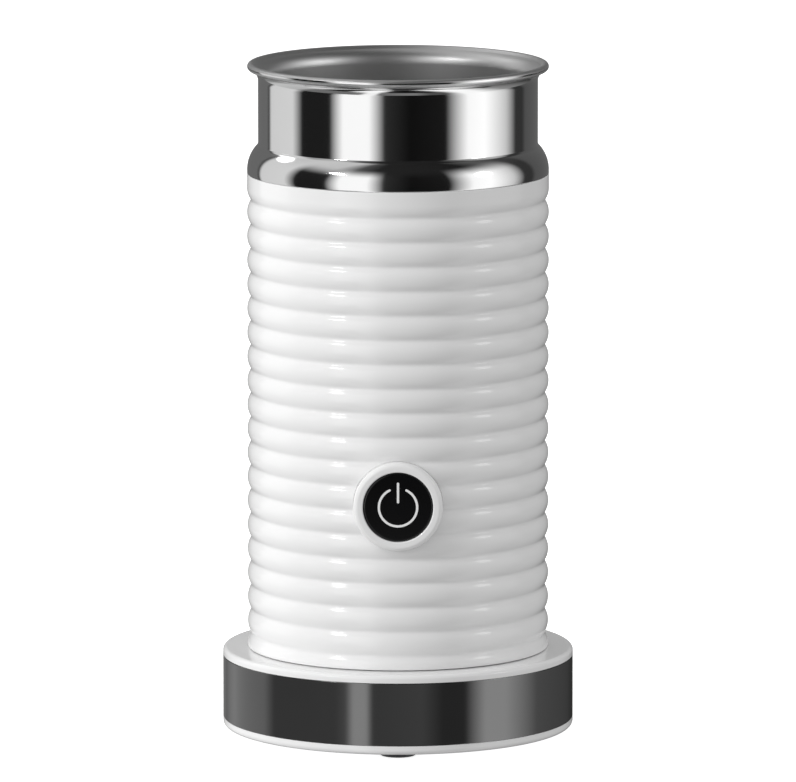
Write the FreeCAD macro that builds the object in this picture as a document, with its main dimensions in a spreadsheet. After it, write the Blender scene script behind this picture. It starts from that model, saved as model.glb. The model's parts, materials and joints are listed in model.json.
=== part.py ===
import FreeCAD, Part
import math
import os
import re

import Sketcher

# Electric milk frother: a round powered base, a cordless jug that stands on a
# full-turn coupler, a magnetic whisk in the jug and a push button in its wall.
# Millimetres, +Z up, the button faces -Y. The origin is the middle of the
# footprint, on the surface that the rubber feet stand on.

SIZES = {
    # base casing
    "base_ledge": 6.75,
    "foot_radius": 5.0,
    "foot_height": 2.4,
    "foot_seat": 0.6,
    "foot_inset": 14.0,
    "boss_wall": 0.6,
    "rim_height": 2.47,
    "rim_round": 1.4,
    "floor_wall": 2.0,
    "floor_step": 1.0,
    "band_height": 17.06,
    "band_wall": 1.2,
    "cover_plate": 2.12,
    "cover_round": 1.1,
    "skirt_wall": 1.9,
    "skirt_gap": 2.0,
    "pillar_radius": 3.8,
    "gland_bore": 3.3,
    "gland_wall": 1.2,
    "gland_flange": 6.2,
    "gland_flange_wall": 1.8,
    "gland_flange_gap": 0.6,
    "gland_reach": 3.4,
    "gland_inset": 0.4,
    # screws
    "screw_radius": 1.5,
    "screw_head": 2.8,
    "screw_cap": 2.0,
    "thread_gap": 0.05,
    "hole_gap": 0.15,
    "screw_stop": 4.0,
    "pilot_stop": 2.0,
    "boss_screw_stop": 1.0,
    "boss_pilot_stop": 0.5,
    # making: how far a joined piece sinks in and how far a cut runs past
    "weld": 0.1,
    "overrun": 1.0,
    # coupler
    "live_pin_radius": 1.5,
    "ring_wall": 1.0,
    "slot_gap": 0.5,
    "core_wall": 2.4,
    "slot_wall": 1.2,
    "coupler_wall": 1.6,
    "coupler_rise": 7.0,
    "slot_depth": 9.0,
    "coupler_floor": 2.0,
    "coupler_gap": 0.6,
    "flange_reach": 11.8,
    "boss_reach": 6.9,
    "flange_wall": 2.0,
    "boss_height": 8.0,
    "boss_radius": 3.0,
    "shutter_width": 2.2,
    "shutter_height": 4.0,
    "shutter_gap": 0.3,
    "spring_wire": 0.3,
    "spring_turns": 3.5,
    "spring_gap": 0.02,
    "contact_sheet": 0.4,
    "contact_length": 19.5,
    "contact_recess": 1.5,
    "contact_span": 50.0,
    "contact_slot_span": 56.0,
    # jug shell
    "jug_gap": 0.2,
    "crest_radius": 40.75,
    "sleeve_wall": 2.45,
    "sleeve_height": 129.15,
    "top_land": 7.2,
    "rib_pitch": 6.573,
    "rib_depth": 0.93,
    "rib_round": 6.3,
    "valley_round": 1.1,
    "crest_land": 0.3,
    "valley_share": 0.86,
    "valley_lip": 0.45,
    "steel_sheet": 0.6,
    "shoulder_inset": 0.02,
    "shoulder_straight": 1.0,
    "shoulder_rise": 6.8,
    "neck_step": 3.0,
    "neck_height": 17.4,
    "flare_radius": 3.0,
    "flare_rise": 3.8,
    "collar_flare": 55.0,
    "pot_flare": 64.0,
    "seal_gap": 0.1,
    "seal_wall": 1.4,
    "seal_height": 2.6,
    "hem_gap": 0.1,
    "bead_radius": 1.0,
    "bead_reach": 1.93,
    "pot_gap": 0.25,
    "pot_corner": 6.0,
    # heating
    "carrier_room": 2.5,
    "plate_inset": 3.9,
    "plate_height": 3.0,
    "element_inset": 8.0,
    "element_tube": 2.8,
    "element_span": 300.0,
    "tail_gap": 1.0,
    "stud_inset": 2.0,
    "stud_tail": 4.0,
    "nut_height": 2.4,
    "sensor_inset": 0.3,
    "sensor_radius": 2.8,
    "sensor_height": 5.0,
    "fuse_inset": 5.0,
    "fuse_radius": 1.9,
    "fuse_length": 11.0,
    "clip_width": 4.0,
    "clip_depth": 6.0,
    "clip_height": 4.4,
    "shield_drop": 1.4,
    "shield_sheet": 0.8,
    "shield_gap": 1.0,
    "loose_gap": 0.5,
    # whisk and drive
    "spindle_radius": 1.5,
    "spindle_height": 11.0,
    "spindle_gap": 0.1,
    "hub_gap": 0.3,
    "hub_flange": 14.4,
    "hub_radius": 12.4,
    "hub_height": 6.0,
    "hub_plate": 1.0,
    "hub_chamfer": 1.5,
    "stem_radius": 3.2,
    "stem_height": 26.0,
    "stem_round": 2.4,
    "knob_radius": 4.6,
    "knob_half": 3.0,
    "knob_band": 1.6,
    "knob_chamfer": 1.4,
    "coil_gap": 0.3,
    "coil_tube": 2.4,
    "magnet_radius": 3.0,
    "magnet_height": 3.0,
    "magnet_circle": 8.0,
    "hub_skin": 0.8,
    "carrier_skin": 0.4,
    "carrier_gap": 1.5,
    "carrier_radius": 13.0,
    "carrier_height": 6.0,
    "carrier_hub": 2.5,
    "carrier_hub_wall": 3.0,
    # motor and chassis
    "chassis_drop": 4.6,
    "chassis_plate": 3.0,
    "chassis_gap": 0.7,
    "strut_inset": 5.6,
    "strut_radius": 3.6,
    "strut_pilot": 12.0,
    "strut_screw": 9.0,
    "motor_clear": 7.55,
    "motor_radius": 12.2,
    "motor_height": 26.0,
    "motor_wall": 0.6,
    "motor_screw_circle": 7.56,
    "motor_screw_radius": 1.2,
    "motor_screw_head": 2.1,
    "motor_screw_cap": 1.4,
    "motor_screw_tip": 1.6,
    "end_cap_wall": 2.0,
    "bush_wall": 2.0,
    "bush_room": 0.4,
    "front_bush": 2.6,
    "rear_bush": 2.2,
    "shaft_radius": 1.15,
    "shaft_tail": 1.5,
    "running_gap": 0.05,
    "armature_radius": 8.9,
    "armature_height": 13.0,
    "armature_place": 7.4,
    "slot_width": 3.4,
    "slot_start": 3.4,
    "winding_width": 3.2,
    "winding_start": 3.5,
    "winding_inset": 0.9,
    "winding_rise": 1.2,
    "stator_rise": 1.0,
    "stator_span": 130.0,
    "commutator_radius": 3.0,
    "commutator_place": 2.6,
    "commutator_gap": 0.4,
    "brush_length": 5.0,
    "brush_width": 2.0,
    "brush_height": 3.1,
    "brush_place": 2.3,
    "magnet_gap": 0.5,
    # jug floor and connector
    "cover_recess": 0.4,
    "bottom_plate": 2.0,
    "floor_gap": 0.3,
    "floor_rim": 3.0,
    "floor_rim_wall": 1.5,
    "recess_depth": 1.2,
    "head_inset": 0.1,
    "well_wall": 1.6,
    "connector_height": 4.6,
    "connector_edge": 0.6,
    "ear_reach": 3.6,
    "ear_plate": 2.0,
    "ear_screw_cap": 1.6,
    "ear_screw_start": 0.6,
    "pin_tail": 3.0,
    "ring_reach": 6.5,
    "ring_grip": 2.6,
    # button
    "button_height": 44.65,
    "cap_radius": 9.25,
    "cap_gap": 0.15,
    "cap_recess": 0.35,
    "cap_wall": 1.3,
    "cap_skirt": 5.0,
    "cap_skirt_wall": 1.2,
    "cap_edge": 0.4,
    "bezel_wall": 2.6,
    "bezel_gap": 0.1,
    "bezel_depth": 4.6,
    "bezel_flange": 1.6,
    "bezel_flange_wall": 1.6,
    "bezel_web": 1.4,
    "notch_gap": 2.4,
    "notch_back": 3.0,
    "post_radius": 2.2,
    "post_reach": 10.0,
    "bezel_proud": 2.25,
    "bezel_round": 0.8,
    "icon_radius": 5.2,
    "icon_stroke": 0.84,
    "icon_bar": 6.7,
    "icon_bar_start": 1.1,
    "icon_opening": 26.0,
    "sign_gap": 0.03,
    "guide_depth": 2.4,
    "guide_edge": 2.0,
    "button_travel": 1.2,
    "switch_size": 7.0,
    "switch_depth": 5.0,
    "switch_place": 0.4,
    "switch_gap": 0.2,
    "plunger_radius": 1.6,
    "plunger_gap": 0.6,
    "plunger_reach": 2.4,
    "board_sheet": 1.6,
    "small_board_width": 26.0,
    "small_board_drop": 9.0,
    "small_board_rise": 5.5,
    "board_screw_radius": 1.0,
    "board_screw_head": 1.9,
    "board_screw_cap": 1.3,
    "board_screw_start": 1.2,
    # electronics
    "board_offset": 19.0,
    "board_width": 48.0,
    "board_height": 26.0,
    "board_gap": 1.0,
    "parts_rise": 2.0,
    "relay_left": 9.0,
    "relay_width": 12.0,
    "relay_depth": 10.0,
    "relay_height": 12.0,
    "capacitor_radius": 4.0,
    "capacitor_length": 11.0,
    "capacitor_place": 9.0,
    "capacitor_rise": 6.0,
    "cooler_left": 8.0,
    "cooler_width": 20.0,
    "cooler_gap": 0.5,
    "cooler_sheet": 1.5,
    "cooler_rise": 13.5,
    "cooler_height": 9.0,
    "chip_left": 3.0,
    "chip_width": 10.0,
    "chip_depth": 4.0,
    "chip_inset": 1.0,
    "leg_width": 1.5,
    "leg_inset": 1.0,
    "leg_rise": 2.5,
    "leg_height": 3.0,
    "lead_place": 11.8,
    "lead_spread": 8.0,
    "lead_rise": 7.0,
    "lead_radius": 0.8,
}

FULL_TURN = 360
WIRE_SIDES = 8
SCREW_ANGLES = (-90, 30, 150)
STRUT_ANGLES = (50, 180, 310)
STUD_ANGLES = (0, 135, 225)
FUSE_ANGLE = 90
SENSOR_ANGLE = 270
OPEN_SPAN = FULL_TURN - SIZES["element_span"]
TAIL_ANGLES = (FUSE_ANGLE - OPEN_SPAN / 2, FUSE_ANGLE + OPEN_SPAN / 2)
MOTOR_SCREW_ANGLES = (45, 225)
EAR_ANGLES = (90, 270)
MAGNET_ANGLES = (0, 180)
BOSS_ANGLES = (90, 210, 330)
TOOTH_ANGLES = (30, 150, 270)
NEUTRAL_ANGLE = 180
EARTH_ANGLE = 0

os.makedirs("parts", exist_ok=True)
doc = FreeCAD.newDocument("milk_frother")
sheet = doc.addObject("Spreadsheet::Sheet", "dims")
for row, (alias, number) in enumerate(SIZES.items(), start=1):
    sheet.set(f"A{row}", alias)
    sheet.set(f"B{row}", str(number))
    sheet.setAlias(f"B{row}", alias)
doc.recompute()

NODES = []


# ---------------------------------------------------------------- small tools


def named(text):
    """Point each size name in an expression at its cell of the sheet."""
    return re.sub(r"[a-z_]+", lambda word: f"dims.{word[0]}" if word[0] in SIZES else word[0], str(text))


def value(text):
    """The number that an expression gives now."""
    return float(sheet.evalExpression(named(text)))


def bind(piece, prop, text):
    """Tie a property of a piece to an expression of named sizes."""
    piece.setExpression(prop, named(text))


def place(piece, x="0", y="0", z="0"):
    """Tie a piece's position to expressions."""
    for axis, text in zip("xyz", (x, y, z)):
        bind(piece, f"Placement.Base.{axis}", text)


def node(piece, label):
    """Give a finished sub-part its name and keep it for the files."""
    piece.Label = label
    NODES.append(piece)
    return piece


def cylinder(name, radius, low, high, x="0", y="0"):
    """An upright cylinder between two heights."""
    piece = doc.addObject("Part::Cylinder", name)
    bind(piece, "Radius", radius)
    bind(piece, "Height", f"({high}) - ({low})")
    place(piece, x, y, low)
    return piece


def rod_inward(name, radius, front, back, x="0", z="0"):
    """A cylinder along Y from its front face to its back face."""
    piece = doc.addObject("Part::Cylinder", name)
    piece.Placement = FreeCAD.Placement(FreeCAD.Vector(), FreeCAD.Rotation(FreeCAD.Vector(1, 0, 0), -90))
    bind(piece, "Radius", radius)
    bind(piece, "Height", f"({back}) - ({front})")
    place(piece, x, front, z)
    return piece


def box(name, x, y, z):
    """A box between pairs of expressions along X, Y and Z."""
    piece = doc.addObject("Part::Box", name)
    for prop, (low, high) in zip(("Length", "Width", "Height"), (x, y, z)):
        bind(piece, prop, f"({high}) - ({low})")
    place(piece, x[0], y[0], z[0])
    return piece


def fuse(name, pieces):
    """Several shapes joined into one."""
    piece = doc.addObject("Part::MultiFuse", name)
    piece.Shapes = pieces
    piece.Refine = True
    return piece


def group(name, pieces):
    """Several separate solids kept in one sub-part."""
    piece = doc.addObject("Part::Compound", name)
    piece.Links = pieces
    return piece


def cut(name, base, tools):
    """A shape with other shapes taken away."""
    piece = doc.addObject("Part::Cut", name)
    piece.Base = base
    piece.Tool = tools[0] if len(tools) == 1 else fuse(f"{name}_tools", tools)
    return piece


def tube(name, outer, inner, low, high, x="0", y="0"):
    """An upright tube between two heights."""
    wall = cylinder(f"{name}_wall", outer, low, high, x, y)
    bore = cylinder(f"{name}_bore", inner, low, high, x, y)
    return cut(name, wall, [bore])


def arc_strip(name, outer, inner, low, high, middle, span):
    """A part of a tube, centred on an angle."""
    wall = cylinder(f"{name}_wall", outer, low, high)
    bind(wall, "Angle", span)
    turn = FreeCAD.Rotation(FreeCAD.Vector(0, 0, 1), middle - value(span) / 2)
    wall.Placement = FreeCAD.Placement(FreeCAD.Vector(), turn)
    place(wall, z=low)
    bore = cylinder(f"{name}_bore", inner, low, high)
    return cut(name, wall, [bore])


def polar(radius, angle):
    """The x and y expressions of a place on a circle."""
    return f"({radius}) * cos({angle})", f"({radius}) * sin({angle})"


def at_angles(make, name, radius, angles):
    """One piece made by make(name, x, y) at each angle of a circle."""
    return [make(f"{name}_{number}", *polar(radius, angle)) for number, angle in enumerate(angles)]


def origin_plane(body, role):
    return next(plane for plane in body.Origin.OriginFeatures if plane.Role == role)


def arc_between(start, end, radius, side):
    """The short arc between two points; side 1 puts its centre on the left."""
    chord = end - start
    across = FreeCAD.Vector(-chord.y, chord.x, 0).normalize() * side
    rise = math.sqrt(max(radius**2 - (chord.Length / 2) ** 2, 0.0))
    centre = start + chord * 0.5 + across * rise
    first, last = (start, end) if side > 0 else (end, start)
    angles = [math.atan2(p.y - centre.y, p.x - centre.x) for p in (first, last)]
    if angles[1] < angles[0]:
        angles[1] += 2 * math.pi
    circle = Part.Circle(centre, FreeCAD.Vector(0, 0, 1), radius)
    return Part.ArcOfCircle(circle, angles[0], angles[1])


def sketch_on(body, name, role, outlines):
    """A sketch of closed outlines on one of the body's own origin planes.

    A corner is (x, y), or (x, y, radius, side) where the edge that starts
    there is an arc, with its centre on the left for side 1 or the right
    for side -1.
    """
    sketch = body.newObject("Sketcher::SketchObject", name)
    sketch.AttachmentSupport = [(origin_plane(body, role), "")]
    sketch.MapMode = "FlatFace"
    for outline in outlines:
        corners = [FreeCAD.Vector(value(corner[0]), value(corner[1]), 0) for corner in outline]
        ends = []
        for number, corner in enumerate(outline):
            start, end = corners[number], corners[(number + 1) % len(corners)]
            if len(corner) == 2:
                edge = sketch.addGeometry(Part.LineSegment(start, end), False)
                ends.append((edge, 1, 2))
            else:
                arc = arc_between(start, end, value(corner[2]), corner[3])
                edge = sketch.addGeometry(arc, False)
                ends.append((edge, 1, 2) if corner[3] > 0 else (edge, 2, 1))
        for number, (edge, head, _) in enumerate(ends):
            before, _, tail = ends[number - 1]
            sketch.addConstraint(Sketcher.Constraint("Coincident", before, tail, edge, head))
        for number, (edge, head, _) in enumerate(ends):
            corner = outline[number]
            for kind, text in zip(("DistanceX", "DistanceY"), corner):
                limit = Sketcher.Constraint(kind, -1, 1, edge, head, value(text))
                bind(sketch, f"Constraints[{sketch.addConstraint(limit)}]", text)
            if len(corner) > 2:
                limit = Sketcher.Constraint("Radius", edge, value(corner[2]))
                bind(sketch, f"Constraints[{sketch.addConstraint(limit)}]", corner[2])
    return sketch


def turned(name, outline, role="XZ_Plane"):
    """A body turned about the upright axis of its sketch."""
    body = doc.addObject("PartDesign::Body", name)
    sketch = sketch_on(body, f"{name}_outline", role, [outline])
    turn = body.newObject("PartDesign::Revolution", f"{name}_turn")
    turn.Profile = sketch
    turn.ReferenceAxis = (sketch, ["V_Axis"])
    turn.Angle = FULL_TURN
    return body


def screw(name, x, y, seat, reach):
    """A pan-head screw driven up: its head below the seat, its shank to reach."""
    head = cylinder(f"{name}_head", "screw_head", f"({seat}) - screw_cap", seat, x, y)
    shank = cylinder(f"{name}_shank", "screw_radius", f"({seat}) - screw_cap / 2", reach, x, y)
    return fuse(name, [head, shank])


# ------------------------------------------------------------ shared heights

BASE_RADIUS = "(crest_radius + base_ledge)"
SLEEVE_BORE = "(crest_radius - sleeve_wall)"
NECK_RADIUS = "(crest_radius - neck_step)"
BEZEL_RADIUS = "(cap_radius + cap_gap + bezel_wall)"
FOOT_CIRCLE = f"({BASE_RADIUS} - foot_inset)"
THREAD_BORE = "screw_radius + thread_gap"

RIM_TOP = "(foot_height + rim_height)"
BAND_TOP = f"({RIM_TOP} + band_height)"
BASE_TOP = f"({BAND_TOP} + cover_plate)"
BAND_BORE = f"({BASE_RADIUS} - band_wall)"
SKIRT_OUTER = f"({BAND_BORE} - hole_gap)"
SKIRT_BORE = f"({SKIRT_OUTER} - skirt_wall)"
BOSS_END = f"({BAND_TOP} - boss_height)"
GLAND_HEIGHT = f"({RIM_TOP} + band_height / 2)"
GLAND_OUTER = "(gland_bore + gland_wall)"

PIN_BORE = "(live_pin_radius + slot_gap)"
NEUTRAL_SLOT = f"({PIN_BORE} + core_wall)"
NEUTRAL_RING = f"({NEUTRAL_SLOT} + slot_gap)"
NEUTRAL_END = f"({NEUTRAL_RING} + ring_wall + slot_gap)"
WELL_START = f"({NEUTRAL_END} + slot_wall)"
SHUTTER_BORE = f"({WELL_START} + shutter_gap)"
WELL_END = f"({SHUTTER_BORE} + shutter_width + shutter_gap)"
EARTH_SLOT = f"({WELL_END} + slot_wall)"
EARTH_RING = f"({EARTH_SLOT} + slot_gap)"
EARTH_END = f"({EARTH_RING} + ring_wall + slot_gap)"
COUPLER_RADIUS = f"({EARTH_END} + coupler_wall)"
COUPLER_TOP = f"({BASE_TOP} + coupler_rise)"
SLOT_FLOOR = f"({COUPLER_TOP} - slot_depth)"
FLANGE_RADIUS = f"({COUPLER_RADIUS} + flange_reach)"
BOSS_CIRCLE = f"({COUPLER_RADIUS} + boss_reach)"

JUG_FLOOR = f"({BASE_TOP} + jug_gap)"
SLEEVE_TOP = f"({JUG_FLOOR} + sleeve_height)"
SHOULDER_RADIUS = "(crest_radius - shoulder_inset)"
SHOULDER_START = f"({SLEEVE_TOP} + shoulder_straight)"
NECK_FOOT = f"({SHOULDER_START} + shoulder_rise)"
NECK_TOP = f"({NECK_FOOT} + neck_height)"
BEAD_HEIGHT = f"({NECK_TOP} + flare_rise)"
RIM_HEIGHT = f"({BEAD_HEIGHT} + bead_radius)"
NECK_BORE = f"({NECK_RADIUS} - steel_sheet)"
POT_OUTER = f"({NECK_BORE} - pot_gap)"
POT_BORE = f"({POT_OUTER} - steel_sheet)"
COVER_LOW = f"({JUG_FLOOR} + cover_recess)"
COVER_TOP = f"({COVER_LOW} + bottom_plate)"
CONNECTOR_LOW = f"({COUPLER_TOP} + jug_gap)"
CONNECTOR_TOP = f"({CONNECTOR_LOW} + connector_height)"
WELL_BORE = f"({COUPLER_RADIUS} + coupler_gap)"
WELL_OUTER = f"({WELL_BORE} + well_wall)"
EAR_CIRCLE = f"({WELL_OUTER} + ear_reach)"

MOTOR_LOW = f"({CONNECTOR_TOP} + motor_clear)"
CHASSIS_LOW = f"({MOTOR_LOW} + motor_height)"
CHASSIS_TOP = f"({CHASSIS_LOW} + chassis_plate)"
SHIELD_LOW = f"({CHASSIS_TOP} + chassis_drop)"
SHIELD_TOP = f"({SHIELD_LOW} + shield_sheet)"
ELEMENT_MIDDLE = f"({SHIELD_TOP} + shield_drop + element_tube)"
PLATE_LOW = f"({ELEMENT_MIDDLE} + element_tube)"
POT_BOTTOM = f"({PLATE_LOW} + plate_height)"
POT_INSIDE = f"({POT_BOTTOM} + steel_sheet)"
CHASSIS_RADIUS = f"({SLEEVE_BORE} - chassis_gap)"
STRUT_CIRCLE = f"({CHASSIS_RADIUS} - strut_inset)"
PLATE_BORE = "(carrier_radius + carrier_room)"
PLATE_RADIUS = f"({POT_OUTER} - plate_inset)"
ELEMENT_CIRCLE = f"({PLATE_RADIUS} - element_inset)"
STUD_CIRCLE = f"({PLATE_RADIUS} - stud_inset)"
SENSOR_CIRCLE = f"({PLATE_BORE} + sensor_radius + sensor_inset)"
BUSH = "(shaft_radius + bush_wall)"
FUSE_CIRCLE = f"({PLATE_BORE} + fuse_inset)"
CARRIER_TOP = f"({POT_BOTTOM} - carrier_gap)"
CARRIER_LOW = f"({CARRIER_TOP} - carrier_height)"

BUTTON_AXIS = f"({JUG_FLOOR} + button_height)"
BEZEL_FRONT = "(0 - crest_radius - bezel_proud)"
CAP_FRONT = f"({BEZEL_FRONT} + cap_recess)"
CAP_BACK = f"({CAP_FRONT} + cap_wall)"
BEZEL_BACK = f"(0 - {SLEEVE_BORE} + bezel_depth)"
SWITCH_FRONT = f"({BEZEL_BACK} + switch_place)"
SWITCH_BACK = f"({SWITCH_FRONT} + switch_depth)"
POST_PLACES = ("0 - post_reach", "post_reach")

BOARD_LOW = f"({CONNECTOR_TOP} + board_gap)"
BOARD_BACK = "(board_offset + board_sheet)"


# -------------------------------------------------------------------- base


def base_top_cover():
    """White lid of the base: a disc with a rounded edge, a skirt and pillars."""
    rim = f"{BASE_TOP} - cover_round"
    skirt_low = f"{RIM_TOP} + skirt_gap"
    sunk = f"{BAND_TOP} + weld"
    disc = turned("cover_disc", [
        (f"{COUPLER_RADIUS} + hole_gap", BAND_TOP),
        (f"{COUPLER_RADIUS} + hole_gap", BASE_TOP),
        (f"{BASE_RADIUS} - cover_round", BASE_TOP, "cover_round", -1),
        (BASE_RADIUS, rim),
        (BASE_RADIUS, BAND_TOP),
        (SKIRT_OUTER, BAND_TOP),
        (SKIRT_OUTER, skirt_low),
        (SKIRT_BORE, skirt_low),
        (SKIRT_BORE, BAND_TOP),
    ])
    pillars = at_angles(
        lambda name, x, y: cylinder(name, "pillar_radius", skirt_low, sunk, x, y),
        "cover_pillar", FOOT_CIRCLE, SCREW_ANGLES)
    bosses = at_angles(
        lambda name, x, y: cylinder(name, "boss_radius", BOSS_END, sunk, x, y),
        "coupler_boss", BOSS_CIRCLE, BOSS_ANGLES)
    pilots = at_angles(
        lambda name, x, y: cylinder(name, THREAD_BORE, RIM_TOP, f"{BAND_TOP} - pilot_stop", x, y),
        "cover_pilot", FOOT_CIRCLE, SCREW_ANGLES)
    pilots += at_angles(
        lambda name, x, y: cylinder(name, THREAD_BORE, RIM_TOP, f"{BAND_TOP} - boss_pilot_stop", x, y),
        "boss_pilot", BOSS_CIRCLE, BOSS_ANGLES)
    pilots.append(gland_hole("cover_gland_hole", "hole_gap"))
    solid = fuse("cover_solid", [disc] + pillars + bosses)
    return node(cut("cover", solid, pilots), "base_top_cover")


def gland_hole(name, gap):
    """The round hole through the rear wall that the cord gland fills."""
    front = f"{SKIRT_BORE} - gland_reach - overrun"
    return rod_inward(name, f"{GLAND_OUTER} + {gap}", front, f"{BASE_RADIUS} + overrun", z=GLAND_HEIGHT)


def base_trim_band():
    """Dark mirror band between the two white covers."""
    band = tube("band_tube", BASE_RADIUS, BAND_BORE, RIM_TOP, BAND_TOP)
    return node(cut("band", band, [gland_hole("band_gland_hole", "hole_gap")]), "base_trim_band")


def base_bottom_cover():
    """White floor of the base, with recesses for the feet and screw bosses."""
    low = "foot_height"
    floor_top = f"{low} + floor_wall"
    inner = f"{SKIRT_BORE} - floor_step"
    disc = turned("floor_disc", [
        ("0", low),
        (f"{BASE_RADIUS} - rim_round", low, "rim_round", 1),
        (BASE_RADIUS, f"{low} + rim_round"),
        (BASE_RADIUS, RIM_TOP),
        (inner, RIM_TOP),
        (inner, floor_top),
        ("0", floor_top),
    ])
    boss_top = f"{RIM_TOP} + skirt_gap"
    bosses = at_angles(
        lambda name, x, y: cylinder(name, "foot_radius + boss_wall", f"{floor_top} - weld", boss_top, x, y),
        "floor_boss", FOOT_CIRCLE, SCREW_ANGLES)
    seats = at_angles(
        lambda name, x, y: cylinder(name, "foot_radius + hole_gap", "0", f"{low} + foot_seat", x, y),
        "foot_recess", FOOT_CIRCLE, SCREW_ANGLES)
    heads = at_angles(
        lambda name, x, y: cylinder(name, "screw_head + hole_gap", "0", f"{low} + foot_seat + screw_cap", x, y),
        "head_recess", FOOT_CIRCLE, SCREW_ANGLES)
    holes = at_angles(
        lambda name, x, y: cylinder(name, "screw_radius + hole_gap", "0", f"{boss_top} + overrun", x, y),
        "floor_hole", FOOT_CIRCLE, SCREW_ANGLES)
    solid = fuse("floor_solid", [disc] + bosses)
    return node(cut("floor", solid, seats + heads + holes), "base_bottom_cover")


def base_feet():
    """Three round rubber feet pressed into the floor."""
    feet = at_angles(
        lambda name, x, y: cylinder(name, "foot_radius", "0", "foot_height + foot_seat", x, y),
        "foot", FOOT_CIRCLE, SCREW_ANGLES)
    return node(group("feet", feet), "base_feet")


def base_screws():
    """Three screws under the feet that hold the floor to the lid's pillars."""
    seat = "foot_height + foot_seat + screw_cap"
    screws = at_angles(
        lambda name, x, y: screw(name, x, y, seat, f"{BAND_TOP} - screw_stop"),
        "base_screw", FOOT_CIRCLE, SCREW_ANGLES)
    return node(group("screws_of_base", screws), "base_screws")


def cord_gland():
    """Rubber grommet in the rear wall with the bore for the supply cord."""
    front = f"{SKIRT_BORE} - gland_reach"
    sleeve = rod_inward("gland_sleeve", GLAND_OUTER, front, f"{BASE_RADIUS} - gland_inset", z=GLAND_HEIGHT)
    flange_back = f"{SKIRT_BORE} - gland_flange_gap"
    flange = rod_inward("gland_flange_disc", "gland_flange", f"{flange_back} - gland_flange_wall", flange_back,
                        z=GLAND_HEIGHT)
    bore = rod_inward("gland_bore_tool", "gland_bore", f"{front} - overrun", f"{BASE_RADIUS} + overrun",
                      z=GLAND_HEIGHT)
    return node(cut("gland", fuse("gland_solid", [sleeve, flange]), [bore]), "cord_gland")


def coupler_housing():
    """Full-turn coupler: slots for the jug's pin and rings, and a shutter well."""
    top, floor = COUPLER_TOP, SLOT_FLOOR
    under = f"{SLOT_FLOOR} - coupler_floor"
    flange_low = f"{BOSS_END} - flange_wall"
    shell = turned("coupler_shell", [
        (PIN_BORE, under),
        (PIN_BORE, top),
        (NEUTRAL_SLOT, top),
        (NEUTRAL_SLOT, floor),
        (NEUTRAL_END, floor),
        (NEUTRAL_END, top),
        (WELL_START, top),
        (WELL_START, floor),
        (WELL_END, floor),
        (WELL_END, top),
        (EARTH_SLOT, top),
        (EARTH_SLOT, floor),
        (EARTH_END, floor),
        (EARTH_END, top),
        (COUPLER_RADIUS, top),
        (COUPLER_RADIUS, BOSS_END),
        (FLANGE_RADIUS, BOSS_END),
        (FLANGE_RADIUS, flange_low),
        (EARTH_END, flange_low),
        (EARTH_END, under),
    ])
    holes = at_angles(
        lambda name, x, y: cylinder(name, "screw_radius + hole_gap", f"{flange_low} - overrun",
                                    f"{BOSS_END} + overrun", x, y),
        "flange_hole", BOSS_CIRCLE, BOSS_ANGLES)
    neutral = contact_strip("neutral_slot_tool", f"{NEUTRAL_RING} + ring_wall", NEUTRAL_ANGLE, "hole_gap")
    earth = contact_strip("earth_slot_tool", f"{EARTH_RING} + ring_wall", EARTH_ANGLE, "hole_gap")
    return node(cut("coupler", shell, holes + [neutral, earth]), "coupler_housing")


def contact_strip(name, ring_outer, middle, gap="0"):
    """A curved brass strip that stands in a slot and leads down through its floor."""
    inner = f"{ring_outer} + running_gap"
    outer = f"{inner} + contact_sheet"
    high = f"{COUPLER_TOP} - contact_recess"
    low = f"{high} - contact_length"
    if gap == "0":
        return arc_strip(name, outer, inner, low, high, middle, "contact_span")
    return arc_strip(name, outer, f"{inner} - {gap}", low, f"{SLOT_FLOOR} + weld", middle, "contact_slot_span")


def coupler_contacts():
    """Live tube, neutral strip and earth strip."""
    high = f"{COUPLER_TOP} - contact_recess"
    inner = "live_pin_radius + running_gap"
    live = tube("live_contact", f"{inner} + contact_sheet", inner, f"{high} - contact_length", high)
    neutral = contact_strip("neutral_contact", f"{NEUTRAL_RING} + ring_wall", NEUTRAL_ANGLE)
    earth = contact_strip("earth_contact", f"{EARTH_RING} + ring_wall", EARTH_ANGLE)
    node(live, "coupler_live_contact")
    node(neutral, "coupler_neutral_contact")
    node(earth, "coupler_earth_contact")


def coupler_screws():
    """Three screws that hold the coupler's flange to the lid's bosses."""
    seat = f"{BOSS_END} - flange_wall"
    screws = at_angles(
        lambda name, x, y: screw(name, x, y, seat, f"{BAND_TOP} - boss_screw_stop"),
        "coupler_screw", BOSS_CIRCLE, BOSS_ANGLES)
    return node(group("screws_of_coupler", screws), "coupler_screws")


def shutter():
    """Loose ring that turns with the jug, and the coil spring under it."""
    ring = tube("shutter", f"{SHUTTER_BORE} + shutter_width", SHUTTER_BORE,
                f"{COUPLER_TOP} - shutter_height", COUPLER_TOP)
    node(ring, "shutter_ring")
    low = value(f"{SLOT_FLOOR} + spring_wire + spring_gap")
    high = value(f"{COUPLER_TOP} - shutter_height - spring_wire - spring_gap")
    middle = value(f"{SHUTTER_BORE} + shutter_width / 2")
    wire = value("spring_wire")
    helix = Part.makeHelix((high - low) / value("spring_turns"), high - low, middle)
    corners = [
        FreeCAD.Vector(middle + wire * math.cos(turn), 0, wire * math.sin(turn))
        for turn in (2 * math.pi * side / WIRE_SIDES for side in range(WIRE_SIDES))
    ]
    section = Part.makePolygon(corners + corners[:1])
    spring = doc.addObject("Part::Feature", "shutter_coil")
    spring.Shape = Part.Wire(helix.Edges).makePipeShell([section], True, True)
    spring.Placement = FreeCAD.Placement(FreeCAD.Vector(0, 0, low), FreeCAD.Rotation())
    node(spring, "shutter_spring")


# --------------------------------------------------------------------- jug


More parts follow.
